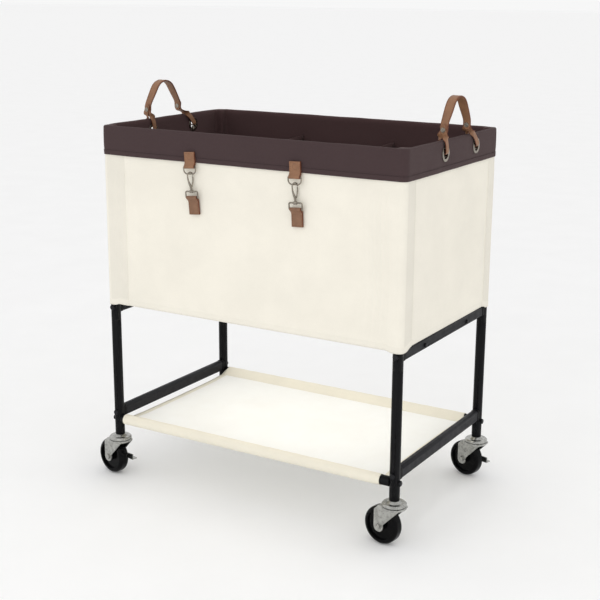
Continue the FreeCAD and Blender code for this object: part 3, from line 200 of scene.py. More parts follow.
def woven(name, colour, pitch=0.9 * MM, slub=0.10, sheen=0.06, depth=0.00016, dark=0.9,
          tint=(1, 1, 1)):
    """Plain weave on a UV map in metres: crossing threads, slubs, soft mottling, and painted shade in the
    gaps between the threads.
    """
    roughness = 0.88
    m = Nodes(name, Sheen_Weight=sheen, Sheen_Roughness=0.5, Sheen_Tint=(*tint, 1),
              Specular_IOR_Level=0.2)
    warp = m.wave(pitch, "X", wobble=0.4)
    weft = m.wave(pitch, "Y", wobble=0.4)
    thread = m.math("MAXIMUM", warp, weft)
    crossing = m.math("MULTIPLY", warp, weft)
    cloth = m.math("SUBTRACT", thread, m.math("MULTIPLY", crossing, 0.5))
    along = m.noise(1, 3, 0.6, m.scaled("UV", (90, 900, 1)))
    across = m.noise(1, 3, 0.6, m.scaled("UV", (900, 90, 1)))
    slubs = m.math("MULTIPLY", m.math("ADD", along, across), 0.5)
    mottle = m.noise(9, 5, 0.6, m.where("UV"))
    base = m.ramp(mottle, [shade(colour, 0.965), shade(colour, 1.02)], 0.36, 0.64)
    slubby = m.blend(m.spread(slubs, 0, slub * 2.2), base, (*shade(colour, dark), 1))
    # painted shade: the colour darkens in the gaps between the threads
    pores = m.blend(m.spread(cloth, 0.16, 0, 0.1, 0.6), slubby, (*shade(colour, 0.72), 1))
    rough = m.spread(m.noise(240, 3, 0.5, m.where("UV")), roughness - 0.05, roughness + 0.06)
    weave = m.bump(cloth, depth, 0.55)
    fuzz = m.bump(slubs, depth * 1.4, 0.5, weave)
    return m.finish(pores, rough, fuzz)


def leather(name, colour, edge=False):
    """Smooth vegetable-tanned strap: lengthwise grain, pores and a soft polish."""
    m = Nodes(name, Specular_IOR_Level=0.35)
    grain = m.noise(1, 5, 0.65, m.scaled("UV", (1500, 110, 1)))
    pores = m.voronoi(1300, m.where("UV"))
    clouds = m.noise(45, 5, 0.6, m.where("UV"))
    base = m.ramp(clouds, [shade(colour, 0.78), colour, shade(colour, 1.16)], 0.3, 0.72)
    streaked = m.blend(m.spread(grain, 0, 0.42, 0.42, 0.68), base, (*shade(colour, 0.58), 1))
    rough = m.spread(m.noise(300, 3, 0.5, m.where("UV")), 0.42, 0.62)
    if edge:
        rough = m.spread(grain, 0.55, 0.75)
    skin = m.bump(pores, 0.00009, 0.5)
    return m.finish(streaked, rough, m.bump(grain, 0.00012, 0.5, skin))


def metal(name, colour, roughness, brushed=0.0, tarnish=0.9, peel=0.00002):
    """Plated metal: drawn or pressed marks, small scratches and cloudy plating."""
    m = Nodes(name, Metallic=1.0)
    clouds = m.noise(120, 5, 0.6)
    scratch = m.noise(1, 4, 0.7, m.scaled("Object", (2200, 180, 700)))
    base = m.ramp(clouds, [shade(colour, tarnish), colour], 0.32, 0.62)
    marked = m.blend(m.spread(scratch, 0, brushed, 0.45, 0.72), base, (*shade(colour, 0.62), 1))
    rough = m.math("ADD", m.spread(clouds, roughness - 0.05, roughness + 0.08),
                   m.spread(scratch, 0, 0.12, 0.4, 0.75))
    return m.finish(marked, rough, m.bump(scratch, peel, 0.4))


def moulded(name, colour, roughness, gloss):
    """Moulded plastic or rubber: fine spark texture, faint flow marks and dust."""
    m = Nodes(name, Specular_IOR_Level=gloss)
    spark = m.noise(1800, 2)
    flow = m.noise(30, 4, 0.6)
    dust = m.noise(75, 6, 0.7)
    base = m.ramp(flow, [shade(colour, 0.8), shade(colour, 1.25)])
    dusty = m.blend(m.spread(dust, 0, 0.06, 0.55, 0.8), base, (*shade(colour, 3), 1))
    rough = m.math("ADD", m.spread(flow, roughness - 0.04, roughness + 0.06),
                   m.spread(dust, 0, 0.12, 0.5, 0.75))
    return m.finish(dusty, rough, m.bump(spark, 0.00003, 0.5))


def hardboard(name):
    m = Nodes(name)
    fibre = m.noise(1, 6, 0.7, m.scaled("Object", (500, 900, 500)))
    base = m.ramp(fibre, [linear(96, 70, 48), linear(134, 104, 74)])
    return m.finish(base, m.spread(fibre, 0.6, 0.8), m.bump(fibre, 0.0001, 0.5))


CANVAS = linear(244, 239, 226)
LINER = linear(71, 56, 57)
SHELF = linear(255, 254, 249)
TAN = linear(146, 106, 78)

MATERIALS = {
    "post_paint": painted("post_paint_coat", linear(13, 13, 15), 0.42, 0.12),
    "rail_paint": painted("rail_paint_coat", linear(33, 33, 36), 0.50, 0.14),
    "fitting_plastic": moulded("fitting_plastic_moulded", linear(13, 13, 14), 0.55, 0.15),
    "dark_fastener": metal("dark_fastener_plated", linear(48, 48, 50), 0.42, 0.3),
    "rim_steel": metal("rim_steel_plated", linear(150, 150, 150), 0.35, 0.4),
    "board": hardboard("board_fibre"),
    # the nickel's base colour is darkened as a painted reflection of dark surroundings
    "nickel": metal("nickel_plated_dark_reflection", linear(160, 152, 140), 0.20, 0.30, 0.50),
    "zinc_steel": metal("zinc_steel_plated", linear(184, 184, 180), 0.24, 0.45, 0.62, 0.00004),
    "wheel_plastic": moulded("wheel_plastic_moulded", linear(5, 5, 6), 0.16, 0.09),
}
CLOTH = woven("canvas_weave", CANVAS)
CLOTH_HEM = woven("canvas_hem_weave", shade(CANVAS, 0.975))
# a darker copy of the canvas for the strips between each upright seam and its post: painted shade beside the
# corners
CORNER_SHADE_CLOTH = woven("canvas_corner_shade_weave", shade(CANVAS, 0.925))
LINING = woven("liner_fabric_weave", LINER, pitch=0.7 * MM, slub=0.16, sheen=0.08, dark=0.72,
               tint=(0.9, 0.75, 0.7))
LINING_INSIDE = woven("liner_inside_weave", linear(74, 54, 54), pitch=0.7 * MM, slub=0.16, sheen=0.08,
                      dark=0.75, tint=(0.9, 0.7, 0.65))
SHELF_CLOTH = woven("shelf_fabric_weave", SHELF, pitch=1.0 * MM)
SHELF_HEM = woven("shelf_hem_weave", linear(242, 236, 219), pitch=1.0 * MM)
THREAD_PALE = woven("thread_pale", linear(232, 226, 210), pitch=0.3 * MM, depth=0.00005)
THREAD_DARK = woven("thread_dark", linear(52, 40, 40), pitch=0.3 * MM, depth=0.00005)
HIDE = leather("leather_face", TAN)
HIDE_EDGE = leather("leather_edge", linear(112, 62, 40), edge=True)
HIDE_LOWER = leather("leather_lower", linear(136, 100, 76))


# ---------------------------------------------------------------- meshes

def smooth(t):
    """Ease from 0 to 1."""
    t = max(0.0, min(1.0, t))
    return t * t * (3 - 2 * t)


def ripple(x, y, z):
    """Smooth noise of about -1 to 1."""
    return noise.noise(Vector((x, y, z)))


def new_piece(name, points, faces, uvs=None, materials=(), face_material=None):
    """A smooth-shaded mesh object. uvs is one (u, v) per point, in metres."""
    mesh = bpy.data.meshes.new(name)
    mesh.from_pydata([tuple(p) for p in points], [], faces)
    mesh.validate()
    if uvs:
        layer = mesh.uv_layers.new(name="UVMap")
        for loop in mesh.loops:
            layer.data[loop.index].uv = uvs[loop.vertex_index]
    for material in materials:
        mesh.materials.append(material)
    if face_material:
        for face, index in zip(mesh.polygons, face_material):
            face.material_index = index
    mesh.polygons.foreach_set("use_smooth", [True] * len(mesh.polygons))
    mesh.update()
    item = bpy.data.objects.new(name, mesh)
    bpy.context.scene.collection.objects.link(item)
    return item


def grid_piece(name, rows, materials, closed=False, face_material=None):
    """A sheet from rows of points. closed joins each row's end to its start, with a UV seam."""
    rows = [list(row) for row in rows]
    if closed:
        rows = [row + [row[0]] for row in rows]
    count = len(rows[0])
    points = [p for row in rows for p in row]
    middle = rows[len(rows) // 2]
    across = [0.0]
    for a, b in zip(middle, middle[1:]):
        across.append(across[-1] + (Vector(b) - Vector(a)).length)
    down = [0.0]
    column = count // 2
    for a, b in zip(rows, rows[1:]):
        down.append(down[-1] + (Vector(b[column]) - Vector(a[column])).length)
    uvs = [(u, v) for v in down for u in across]
    faces = []
    slots = []
    for r in range(len(rows) - 1):
        for c in range(count - 1):
            i = r * count + c
            faces.append((i, i + 1, i + count + 1, i + count))
            slots.append(face_material(r, c) if face_material else 0)
    item = new_piece(name, points, faces, uvs, materials, slots)
    if closed:
        weld(item)
    return item


def weld(item):
    modifier = item.modifiers.new("Weld", "WELD")
    modifier.merge_threshold = WELD


def thicken(item, thickness, offset=-1.0):
    modifier = item.modifiers.new("Thickness", "SOLIDIFY")
    modifier.thickness = thickness
    modifier.offset = offset
    modifier.use_rim = True


def round_edges(item, width):
    modifier = item.modifiers.new("Edges", "BEVEL")
    modifier.width = width
    modifier.segments = EDGE_SEGMENTS
    modifier.limit_method = "ANGLE"
    modifier.angle_limit = math.radians(EDGE_ANGLE)
    modifier.harden_normals = True


def resample(path, count):
    """Points evenly spaced along a polyline."""
    path = [Vector(p) for p in path]
    lengths = [0.0]
    for a, b in zip(path, path[1:]):
        lengths.append(lengths[-1] + (b - a).length)
    result = []
    piece = 0
    for index in range(count):
        goal = lengths[-1] * index / (count - 1)
        while piece < len(path) - 2 and lengths[piece + 1] < goal:
            piece += 1
        span = lengths[piece + 1] - lengths[piece]
        result.append(path[piece].lerp(path[piece + 1], (goal - lengths[piece]) / span if span else 0))
    return result


def spline(points, count):
    """A smooth curve through the points (Catmull-Rom), resampled evenly."""
    points = [Vector(p) for p in points]
    ends = [points[0] * 2 - points[1]] + points + [points[-1] * 2 - points[-2]]
    fine = []
    for a, b, c, d in zip(ends, ends[1:], ends[2:], ends[3:]):
        for step in range(16):
            t = step / 16
            fine.append(0.5 * ((2 * b) + (c - a) * t + (2 * a - 5 * b + 4 * c - d) * t ** 2
                               + (3 * b - a - 3 * c + d) * t ** 3))
    fine.append(points[-1])
    return resample(fine, count)


def strap(name, path, widths, directions, thickness, materials, corner=0.4):
    """A flat strap swept along a path, with rounded edges of its own material.
    widths and directions give the strap's width and the way it lies across at each point."""
    rows = []
    half_thick = thickness / 2
    total = 0.0
    lengths = []
    for index, point in enumerate(path):
        if index:
            total += (point - path[index - 1]).length
        lengths.append(total)
        before = path[max(index - 1, 0)]
        after = path[min(index + 1, len(path) - 1)]
        along = (after - before).normalized()
        across = directions[index] - along * directions[index].dot(along)
        across.normalize()
        face = along.cross(across)
        half = widths[index] / 2
        bend = min(corner * thickness, half_thick * 0.98)
        ring = []
        for sx, sy, start in ((1, 1, 0), (-1, 1, 90), (-1, -1, 180), (1, -1, 270)):
            for step in range(3):
                angle = math.radians(start + 45 * step)
                ring.append(point + across * (sx * (half - bend) + bend * math.cos(angle))
                            + face * (sy * (half_thick - bend) + bend * math.sin(angle)))
        top = [ring[2].lerp(ring[3], t) for t in (0.25, 0.5, 0.75)]
        low = [ring[8].lerp(ring[9], t) for t in (0.25, 0.5, 0.75)]
        rows.append(ring[:3] + top + ring[3:9] + low + ring[9:])
    count = len(rows[0])
    points = [p for row in rows for p in row]
    # U runs across the strap on its two flat sides, V along it
    cross = [0.0]
    middle = rows[len(rows) // 2]
    for a, b in zip(middle, middle[1:] + middle[:1]):
        cross.append(cross[-1] + (b - a).length)
    faces, uvs, slots = [], [], []
    for r in range(len(rows) - 1):
        for c in range(count):
            n = (c + 1) % count
            faces.append((r * count + c, r * count + n, (r + 1) * count + n, (r + 1) * count + c))
            uvs.append([(cross[c], lengths[r]), (cross[c + 1], lengths[r]),
                        (cross[c + 1], lengths[r + 1]), (cross[c], lengths[r + 1])])
            flat = 2 <= c <= 5 or 11 <= c <= 14
            slots.append(0 if flat else 1)
    for r, order in ((0, -1), (len(rows) - 1, 1)):
        face = tuple(r * count + c for c in range(count))[::order]
        faces.append(face)
        uvs.append([(cross[i % count], lengths[r]) for i in face])
        slots.append(1)
    item = new_piece(name, points, faces, None, materials, slots)
    layer = item.data.uv_layers.new(name="UVMap")
    for face, corners in zip(item.data.polygons, uvs):
        for loop, uv in zip(face.loop_indices, corners):
            layer.data[loop].uv = uv
    return item


def stitch_run(points_faces, path, normals, pitch=4.0 * MM, length=2.8 * MM, radius=0.35 * MM):
    """Add a run of short threads along a path to a (points, faces, uvs) store."""
    points, faces, uvs = points_faces
    total = sum((b - a).length for a, b in zip(path, path[1:]))
    count = max(2, int(total / pitch))
    spots = resample(path, count * 2 + 1)
    for index in range(count):
        here, ahead = spots[2 * index], spots[2 * index + 1]
        along = (ahead - here).normalized()
        share = (2 * index) / (2 * count) * (len(normals) - 1)
        normal = normals[int(share)]
        across = along.cross(normal).normalized()
        half = length / 2
        middle = here.lerp(ahead, 0.5)
        first = len(points)
        for t, lift, size in ((-1.0, -0.6, 0.35), (-0.55, 0.35, 0.9), (0.0, 0.6, 1.0), (0.55, 0.35, 0.9),
                              (1.0, -0.6, 0.35)):
            for step in range(6):
                angle = step * math.pi / 3
                points.append(middle + along * (half * t)
                              + across * (radius * size * 1.25 * math.cos(angle))
                              + normal * (radius * (lift + size * math.sin(angle))))
                uvs.append((step * 0.0004, t * half))
        for ring in range(4):
            for step in range(6):
                a = first + ring * 6 + step
                b = first + ring * 6 + (step + 1) % 6
                faces.append((a, b, b + 6, a + 6))
        faces.append(tuple(first + step for step in range(5, -1, -1)))
        faces.append(tuple(first + 24 + step for step in range(6)))


def stitches(name, runs, material, **sizes):
    """One piece of thread from several runs of (path, normals)."""
    store = ([], [], [])
    for path, normals in runs:
        stitch_run(store, path, normals, **sizes)
    return new_piece(name, store[0], store[1], store[2], [material])


# ---------------------------------------------------------------- the way round the bag

def turn_points(centre, radius, first, last, steps=4):
    """Points on an arc, between two angles in degrees."""
    return [(centre[0] + radius * math.cos(math.radians(first + (last - first) * i / steps)),
             centre[1] + radius * math.sin(math.radians(first + (last - first) * i / steps)))
            for i in range(steps + 1)]


def wall_name(axis, sign):
    return (("left", "right"), ("front", "back"))[axis][sign > 0]


def wall_of(normal):
    """Name of the wall that faces a way, or None at a corner."""
    for axis in (0, 1):
        if abs(normal[axis]) > 0.98:
            return wall_name(axis, normal[axis])
    return None


class Loop:
    """The way round the bag over the four posts, anticlockwise from above.
    Each spot has an outer place, which hugs the posts, and an inner one, which passes inside them."""

    RUN = 0.018
    CLOSE = (-0.0006, 0.0, 0.0006, 0.0016)
    STEPS = 26

    def __init__(self, radius, pitch):
        self.outer = []
        self.inner = []
        self.normal = []
        self.on_side = []
        self.radius = radius
        corners = [(1, 1), (-1, 1), (-1, -1), (1, -1)]
        for index, (sx, sy) in enumerate(corners):
            self.corner(sx, sy, index)
            self.side(corners[index], corners[(index + 1) % 4], pitch)

    def put(self, outer, inner, normal, on_side):
        self.outer.append(Vector((*outer, 0)))
        self.inner.append(Vector((*inner, 0)))
        self.normal.append(Vector((*normal, 0)).normalized())
        self.on_side.append(on_side)

    def corner(self, sx, sy, quarter):
        """Round one post: a quarter turn outside, and a rounded notch inside."""
        edge = LINER_X - POST_X
        notch = NOTCH_X - POST_X
        bend = 0.005
        outside = [(self.radius, -self.RUN)] + turn_points((0, 0), self.radius, 0, 90, 12)
        outside.append((-self.RUN, self.radius))
        inside = [(edge, -self.RUN)] + turn_points((edge - bend, notch - bend), bend, 0, 90)
        inside += turn_points((notch + bend, notch + bend), bend, 270, 180)
        inside += turn_points((notch - bend, edge - bend), bend, 0, 90)
        inside.append((-self.RUN, edge))
        outside = resample([(x, y, 0) for x, y in outside], self.STEPS + 1)
        inside = resample([(x, y, 0) for x, y in inside], self.STEPS + 1)
        turn = Matrix.Rotation(math.pi / 2 * quarter, 3, "Z")
        post = Vector((sx * POST_X, sy * POST_Y, 0))
        for out, inn in zip(outside, inside):
            normal = Vector((max(out.x, 0) if out.y > 0 else 1, max(out.y, 0) if out.x > 0 else 1, 0))
            if out.y <= 0:
                normal = Vector((1, 0, 0))
            if out.x <= 0:
                normal = Vector((0, 1, 0))
            self.put((post + turn @ out).xy, (post + turn @ inn).xy, (turn @ normal).xy, False)

    def side(self, start, end, pitch):
        """Along one side, between two posts."""
        axis = 0 if start[1] == end[1] else 1
        post = (POST_X, POST_Y)
        wall = 1 - axis
        first = start[axis] * (post[axis] - self.RUN)
        last = end[axis] * (post[axis] - self.RUN)
        liner = (LINER_X, LINER_Y)
        length = abs(last - first)
        count = round(length / pitch)
        places = [length * step / count for step in range(1, count)]
        direction = 1 if last > first else -1
        for at, way in SEAMS[wall_name(wall, start[wall])]:
            seam = (at - first) * direction
            places = [p for p in places if abs(p - seam) > 0.0030]
            places += [seam - close * way * direction for close in self.CLOSE]
        for place in sorted(places):
            outer, inner, normal = [0, 0], [0, 0], [0, 0]
            outer[axis] = inner[axis] = first + (last - first) * place / length
            outer[wall] = start[wall] * (post[wall] + self.radius)
            inner[wall] = start[wall] * liner[wall]
            normal[wall] = start[wall]
            self.put(outer, inner, normal, True)


def wrinkle(point, normal, height_share):
    """How far cloth on a wall stands in or out there, in metres: long soft folds and small creases."""
    along = point.y if abs(normal.x) > 0.5 else point.x
    seed = 3.1 * (1 if normal.x > 0.5 else 2 if normal.x < -0.5 else 3 if normal.y > 0.5 else 4)
    long_fold = ripple(along * 9, point.z * 2.2, seed) * 0.9
    cross_fold = ripple(along * 4, point.z * 8, seed + 7) * 0.5
    crease = ripple(along * 34, point.z * 14, seed + 11) * 0.28
    return (long_fold + cross_fold + crease) * MM * height_share


def from_post(point):
    """Distance to the nearest post's axis, in metres."""
    return math.hypot(abs(point.x) - POST_X, abs(point.y) - POST_Y)


def quiet(spot):
    """0 where the eyelets and tabs hold the cloth flat, 1 away from them."""
    result = 1.0
    if abs(spot.x) > SHORT_WALL_X:
        for eyelet in EYELETS_Y:
            reach = math.hypot(spot.y - eyelet, spot.z - EYE_Z)
            result = min(result, smooth((reach - 0.017) / 0.03))
    if spot.y < -0.15:
        for x, _ in CLASPS.values():
            reach = math.hypot(max(abs(spot.x - x) - 0.013, 0), max(abs(spot.z - CLASP_MID_Z) - 0.058, 0))
            result = min(result, smooth((reach - 0.002) / 0.03))
    return result


# ---------------------------------------------------------------- canvas bag

CANVAS_FOOT, CANVAS_TOP = 0.3846, 0.7425


def canvas_out(spot, normal):
    """How far the canvas wall stands out from its straight line at a spot."""
    near = from_post(spot)
    level = spot.z - CANVAS_FOOT
    top = smooth((0.300 - level) / 0.03)
    foot = smooth(level / 0.05)
    free = smooth((near - 0.014) / 0.05) * quiet(spot)
    out = wrinkle(spot, normal, free * top * foot)
    out -= 0.0018 * smooth((near - 0.02) / 0.12) * math.sin(math.pi * max(min(level / 0.34, 1), 0)) ** 0.7
    return out + (gathers(spot, normal) * foot + seam_ridge(spot, normal)) * top


def canvas_bag():
    """Outer wall and hem, hugging the posts."""
    loop = Loop(CANVAS_R, LOOP_PITCH)
    levels = [0.0, 0.004, 0.008, 0.012, 0.0132, 0.015]
    levels += [0.015 + (CANVAS_TOP - CANVAS_FOOT - 0.015) * (i / 50) for i in range(1, 51)]
    rows = []
    for level in levels:
        row = []
        for point, normal in zip(loop.outer, loop.normal):
            near = from_post(point)
            lobe = 0.0068 * math.exp(-((near - 0.0112) / 0.012) ** 2)
            front = 0.0035 * smooth(-normal.y * 2) * smooth(near / 0.03)
            drop = max(lobe, front) * (1 - smooth(level / 0.09))
            spot = Vector((point.x, point.y, CANVAS_FOOT + level - drop))
            hem = 0.00035 if level < 0.0125 else 0.0
            row.append(spot + normal * (canvas_out(spot, normal) + hem))
        rows.append(row)
    # the strips past each upright seam, towards the post, take the darker canvas: painted shade beside the
    # corners
    corner = [(past_seam(p, n) or 0) > 0 for p, n in zip(loop.outer, loop.normal)]
    wall = grid_piece("canvas_wall", rows, [CLOTH, CLOTH_HEM, CORNER_SHADE_CLOTH], closed=True,
                      face_material=lambda r, c: 1 if r < 3 else 2 if corner[c] else 0)
    open_notches(wall)
    thicken(wall, 0.9 * MM)
    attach(wall, "frame")
    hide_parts("outer_bag")


def drop_faces(item, unwanted):
    """Delete the faces whose centre the test picks out."""
    work = bmesh.new()
    work.from_mesh(item.data)
    doomed = [face for face in work.faces if unwanted(face.calc_center_median())]
    bmesh.ops.delete(work, geom=doomed, context="FACES")
    work.to_mesh(item.data)
    work.free()


def open_notches(wall):
    """Cut the canvas away round the eyelets, under the cuff."""
    notch = 0.017

    def inside(centre):
        return any(abs(centre.y - eyelet) < notch and centre.z > EYE_Z - notch
                   and abs(centre.x) > SHORT_WALL_X for eyelet in EYELETS_Y)
    drop_faces(wall, inside)


def gathers(spot, normal):
    """Soft upright folds where the cloth is pulled round a post at each front corner."""
    if normal.y > -0.5:
        return 0.0
    result = 0.0
    for side, reach in ((1, 0.058), (-1, 0.045)):
        inward = POST_X - side * spot.x
        envelope = math.exp(-((inward - 0.036) / (reach * 0.5)) ** 2) * smooth((inward - 0.008) / 0.012)
        wobble = 0.004 * ripple(spot.z * 9, side, 2.0)
        result += 0.00085 * envelope * math.cos(2 * math.pi * (inward + wobble) / 0.0165)
    return result


def past_seam(spot, normal):
    """Distance past the nearest upright seam towards its post, in metres, or None off the walls."""
    wall = wall_of(normal)
    if wall is None:
        return None
    along = spot.x if wall in ("front", "back") else spot.y
    return max((along - at) * way for at, way in SEAMS[wall])


def seam_ridge(spot, normal):
    """The corner panel lies over the wall at each upright seam, with a small step."""
    offset = past_seam(spot, normal)
    if offset is None:
        return 0.0006
    # the step fades out again beside the post, so that both walls meet level
    dip = 0.0008 * math.exp(-((offset + 0.0012) / 0.0010) ** 2)
    plain = smooth((from_post(spot) - 0.012) / 0.02)
    return 0.0006 * max(smooth(offset / 0.0009 + 0.5), 1 - plain) - dip


def canvas_floor():
    """Floor panel under the board, puckered between the support bars, open round the posts."""
    rows = []
    count_x, count_y = 92, 58
    half_x, half_y = POST_X + 0.0098, POST_Y + 0.0098
    for j in range(count_y + 1):
        row = []
        for i in range(count_x + 1):
            x = (2 * i / count_x - 1) * half_x
            y = (2 * j / count_y - 1) * half_y
            near = from_post(Vector((x, y, 0)))
            if near < 0.0110:
                push = 0.0110 / max(near, 0.001)
                x = math.copysign(POST_X + (abs(x) - POST_X) * push, x)
                y = math.copysign(POST_Y + (abs(y) - POST_Y) * push, y)
            edge = min(half_x - abs(x), half_y - abs(y))
            sag = 0.0004 * (1 + ripple(x * 16, y * 16, 5)) * smooth(edge / 0.03)
            row.append(Vector((x, y, 0.3855 - sag)))
        rows.append(row)
    floor = grid_piece("canvas_floor", rows, [CLOTH])
    drop_faces(floor, lambda c: from_post(c) < 0.0105 or abs(c.x) > POST_X and abs(c.y) > POST_Y)
    thicken(floor, 0.6 * MM)
    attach(floor, "frame")


def canvas_stitching():
    """Thread down each upright seam of the canvas."""
    runs = []
    wall_x, wall_y = POST_X + POST_R + 1.15 * MM, POST_Y + POST_R + 1.15 * MM
    outward = {"front": Vector((0, -wall_y, 0)), "back": Vector((0, wall_y, 0)),
               "left": Vector((-wall_x, 0, 0)), "right": Vector((wall_x, 0, 0))}
    for wall, seams in SEAMS.items():
        normal = outward[wall].normalized()
        for at, way in seams:
            line = at + 0.003 * way
            shift = Vector((line, 0, 0)) if wall in ("front", "back") else Vector((0, line, 0))
            start = outward[wall] + shift
            path = []
            for step in range(41):
                spot = start + Vector((0, 0, CANVAS_FOOT + 0.004 + 0.33 * step / 40))
                path.append(spot + normal * canvas_out(spot, normal))
            runs.append((path, [normal]))
    thread = stitches("canvas_thread", runs, THREAD_PALE, radius=0.26 * MM)
    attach(thread, "frame")


# ---------------------------------------------------------------- liner and cuff

def cuff_shape(loop, index, level):
    """Place of the cuff's outer face: it hangs a little free of the canvas, in soft waves."""
    point, normal = loop.outer[index], loop.normal[index]
    spot = Vector((point.x, point.y, level))
    free = smooth((from_post(point) - 0.012) / 0.04) * quiet(spot)
    hang = (RIM_Z - level) / (RIM_Z - CUFF_FOOT)
    out = wrinkle(spot, normal, 0.8 * free)
    out += 0.0011 * free * hang * (1 + ripple(spot.x * 14, spot.y * 14, 9))
    swell = math.sin(math.pi * max(0.0, min(hang, 1.0))) * smooth((0.03 - from_post(point)) / 0.02)
    return spot, normal, out + 0.0006 * swell


def liner():
    """Inner walls, the fold over the rim and the cuff outside as one run of cloth, and the floor."""
    loop = Loop(CUFF_R, LOOP_PITCH)
    rows = []
    kinds = []
    depth = 46
    for step in range(depth + 1):
        level = FLOOR_Z + (RIM_Z - 0.004 - FLOOR_Z) * step / depth
        row = []
        for index, (point, normal) in enumerate(zip(loop.inner, loop.normal)):
            spot = Vector((point.x, point.y, level))
            share = smooth((from_post(point) - 0.02) / 0.06) * smooth((level - FLOOR_Z) / 0.04)
            share *= smooth((RIM_Z - 0.02 - level) / 0.04) * quiet(spot)
            if abs(normal.y) > 0.5:
                share *= smooth(abs(abs(point.x) - DIVIDER_X) / 0.05)
            out = 0.0
            if loop.on_side[index]:
                out = 1.6 * wrinkle(spot + Vector((0, 0, 0.2)), normal, share) - 0.0022 * share
            row.append(spot + normal * (out - 0.0006))
        rows.append(row)
        kinds.append(1)
    for t in (0.12, 0.3, 0.5, 0.7, 0.88):
        angle = math.pi * t
        row = []
        for index in range(len(loop.outer)):
            inner, outer, normal = loop.inner[index], loop.outer[index], loop.normal[index]
            gap = (outer - inner).length
            bend = min(gap / 2, 0.0042)
            if t < 0.5:
                flat = inner.lerp(outer, (bend * (1 - math.cos(angle))) / gap)
            elif t > 0.5:
                flat = outer.lerp(inner, (bend * (1 + math.cos(angle))) / gap)
            else:
                flat = inner.lerp(outer, 0.5)
            lift = 0.0038 * math.sin(angle)
            wave = 0.0006 * ripple(flat.x * 22, flat.y * 22, 4)
            row.append(Vector((flat.x, flat.y, RIM_Z - 0.0042 + lift + wave)))
        rows.append(row)
        kinds.append(0 if t > 0.3 else 1)
    outer_levels = [0.0045, 0.008, 0.013, 0.019, 0.025, 0.031, 0.037, 0.043, 0.0475, 0.0485, 0.0500, 0.0545,
                    0.0572, 0.0580]
    for drop in outer_levels:
        row = []
        for index in range(len(loop.outer)):
            spot, normal, out = cuff_shape(loop, index, RIM_Z - drop)
            hem = 0.0005 if drop > 0.049 else -0.0003 if abs(drop - 0.048) < 0.001 else 0.0
            row.append(spot + normal * (out * smooth(drop / 0.012) + hem))
        rows.append(row)
        kinds.append(0)
    # the hem's edge turns under
    row = []
    for index in range(len(loop.outer)):
        spot, normal, out = cuff_shape(loop, index, CUFF_FOOT + 0.0006)
        row.append(spot + normal * (out - 0.0008))
    rows.append(row)
    kinds.append(0)
    body = grid_piece("liner_cloth", rows, [LINING, LINING_INSIDE], closed=True,
                      face_material=lambda r, c: kinds[r])
    eyelet_holes(body)
    thicken(body, 0.8 * MM, offset=1)
    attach(body, "frame")
    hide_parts("liner_bag")
    liner_floor()
    return loop


def eyelet_holes(item):
    """Open the cloth round each eyelet's barrel: the nearest points move onto a ring under the flange."""
    nearest, farthest, ring, hole = 0.0085, 0.0135, 0.0125, 0.0108
    for vertex in item.data.vertices:
        if abs(vertex.co.x) < SHORT_WALL_X:
            continue
        for eyelet in EYELETS_Y:
            dy = vertex.co.y - eyelet
            dz = vertex.co.z - EYE_Z
            reach = math.hypot(dy, dz)
            if nearest < reach < farthest:
                vertex.co.y += dy * (ring / reach - 1)
                vertex.co.z += dz * (ring / reach - 1)
    drop_faces(item, lambda c: abs(c.x) > SHORT_WALL_X and any(
        math.hypot(c.y - eyelet, c.z - EYE_Z) < hole for eyelet in EYELETS_Y))


def liner_floor():
    rows = []
    count_x, count_y = 80, 50
    for j in range(count_y + 1):
        y = (2 * j / count_y - 1) * (LINER_Y - 0.0002)
        row = []
        for i in range(count_x + 1):
            x = (2 * i / count_x - 1) * (LINER_X - 0.0002)
            px, py = x, y
            if abs(x) > NOTCH_X and abs(y) > NOTCH_Y:
                # tucked in round the post
                if abs(x) - NOTCH_X < abs(y) - NOTCH_Y:
                    px = math.copysign(NOTCH_X + 0.0001, x)
                else:
                    py = math.copysign(NOTCH_Y + 0.0001, y)
            soft = 0.0007 * (1 + ripple(px * 13, py * 13, 1)) + 0.0003 * ripple(px * 50, py * 50, 2)
            row.append(Vector((px, py, FLOOR_Z - 0.0003 + max(soft, 0))))
        rows.append(row)
    floor = grid_piece("liner_floor", rows, [LINING_INSIDE])
    thicken(floor, 0.7 * MM)
    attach(floor, "frame")


def cuff_stitching(loop):
    """Thread along the cuff's hem, all the way round."""
    path, normals = [], []
    for index in range(len(loop.outer)):
        spot, normal, out = cuff_shape(loop, index, CUFF_FOOT + 0.0093)
        path.append(spot + normal * (out + 0.0002))
        normals.append(normal)
    thread = stitches("cuff_thread", [(path, normals)], THREAD_DARK, radius=0.3 * MM)
    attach(thread, "frame")


def divider(side, sx):
    """Hanging wall between two compartments, with a folded top hem."""
    rows = []
    base = sx * DIVIDER_X
    top = 0.699
    half = LINER_Y - 0.0008
    for step in range(41):
        z = FLOOR_Z + 0.0015 + (top - FLOOR_Z - 0.0015) * step / 40
        row = []
        for j in range(57):
            y = (2 * j / 56 - 1) * half
            free = smooth((half - abs(y)) / 0.05) * smooth((z - FLOOR_Z) / 0.05)
            sway = free * (2.6 * ripple(y * 7, z * 4, 20 + sx) + 0.9 * ripple(y * 21, z * 9, 30 + sx)) * MM
            dip = 0.004 * ((z - FLOOR_Z) / (top - FLOOR_Z)) ** 6 * math.cos(math.pi * y / 2 / half)
            hem = 0.0005 if z > top - 0.012 else 0.0
            row.append(Vector((base + sway + hem, y, z - dip)))
        rows.append(row)
    wall = grid_piece("divider_cloth_" + side, rows, [LINING_INSIDE])
    thicken(wall, 1.1 * MM, offset=0)
    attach(wall, "frame")
    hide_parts("divider_" + side)


# ---------------------------------------------------------------- shelf

SHELF_LEFT, SHELF_RIGHT = -0.3140, 0.3025


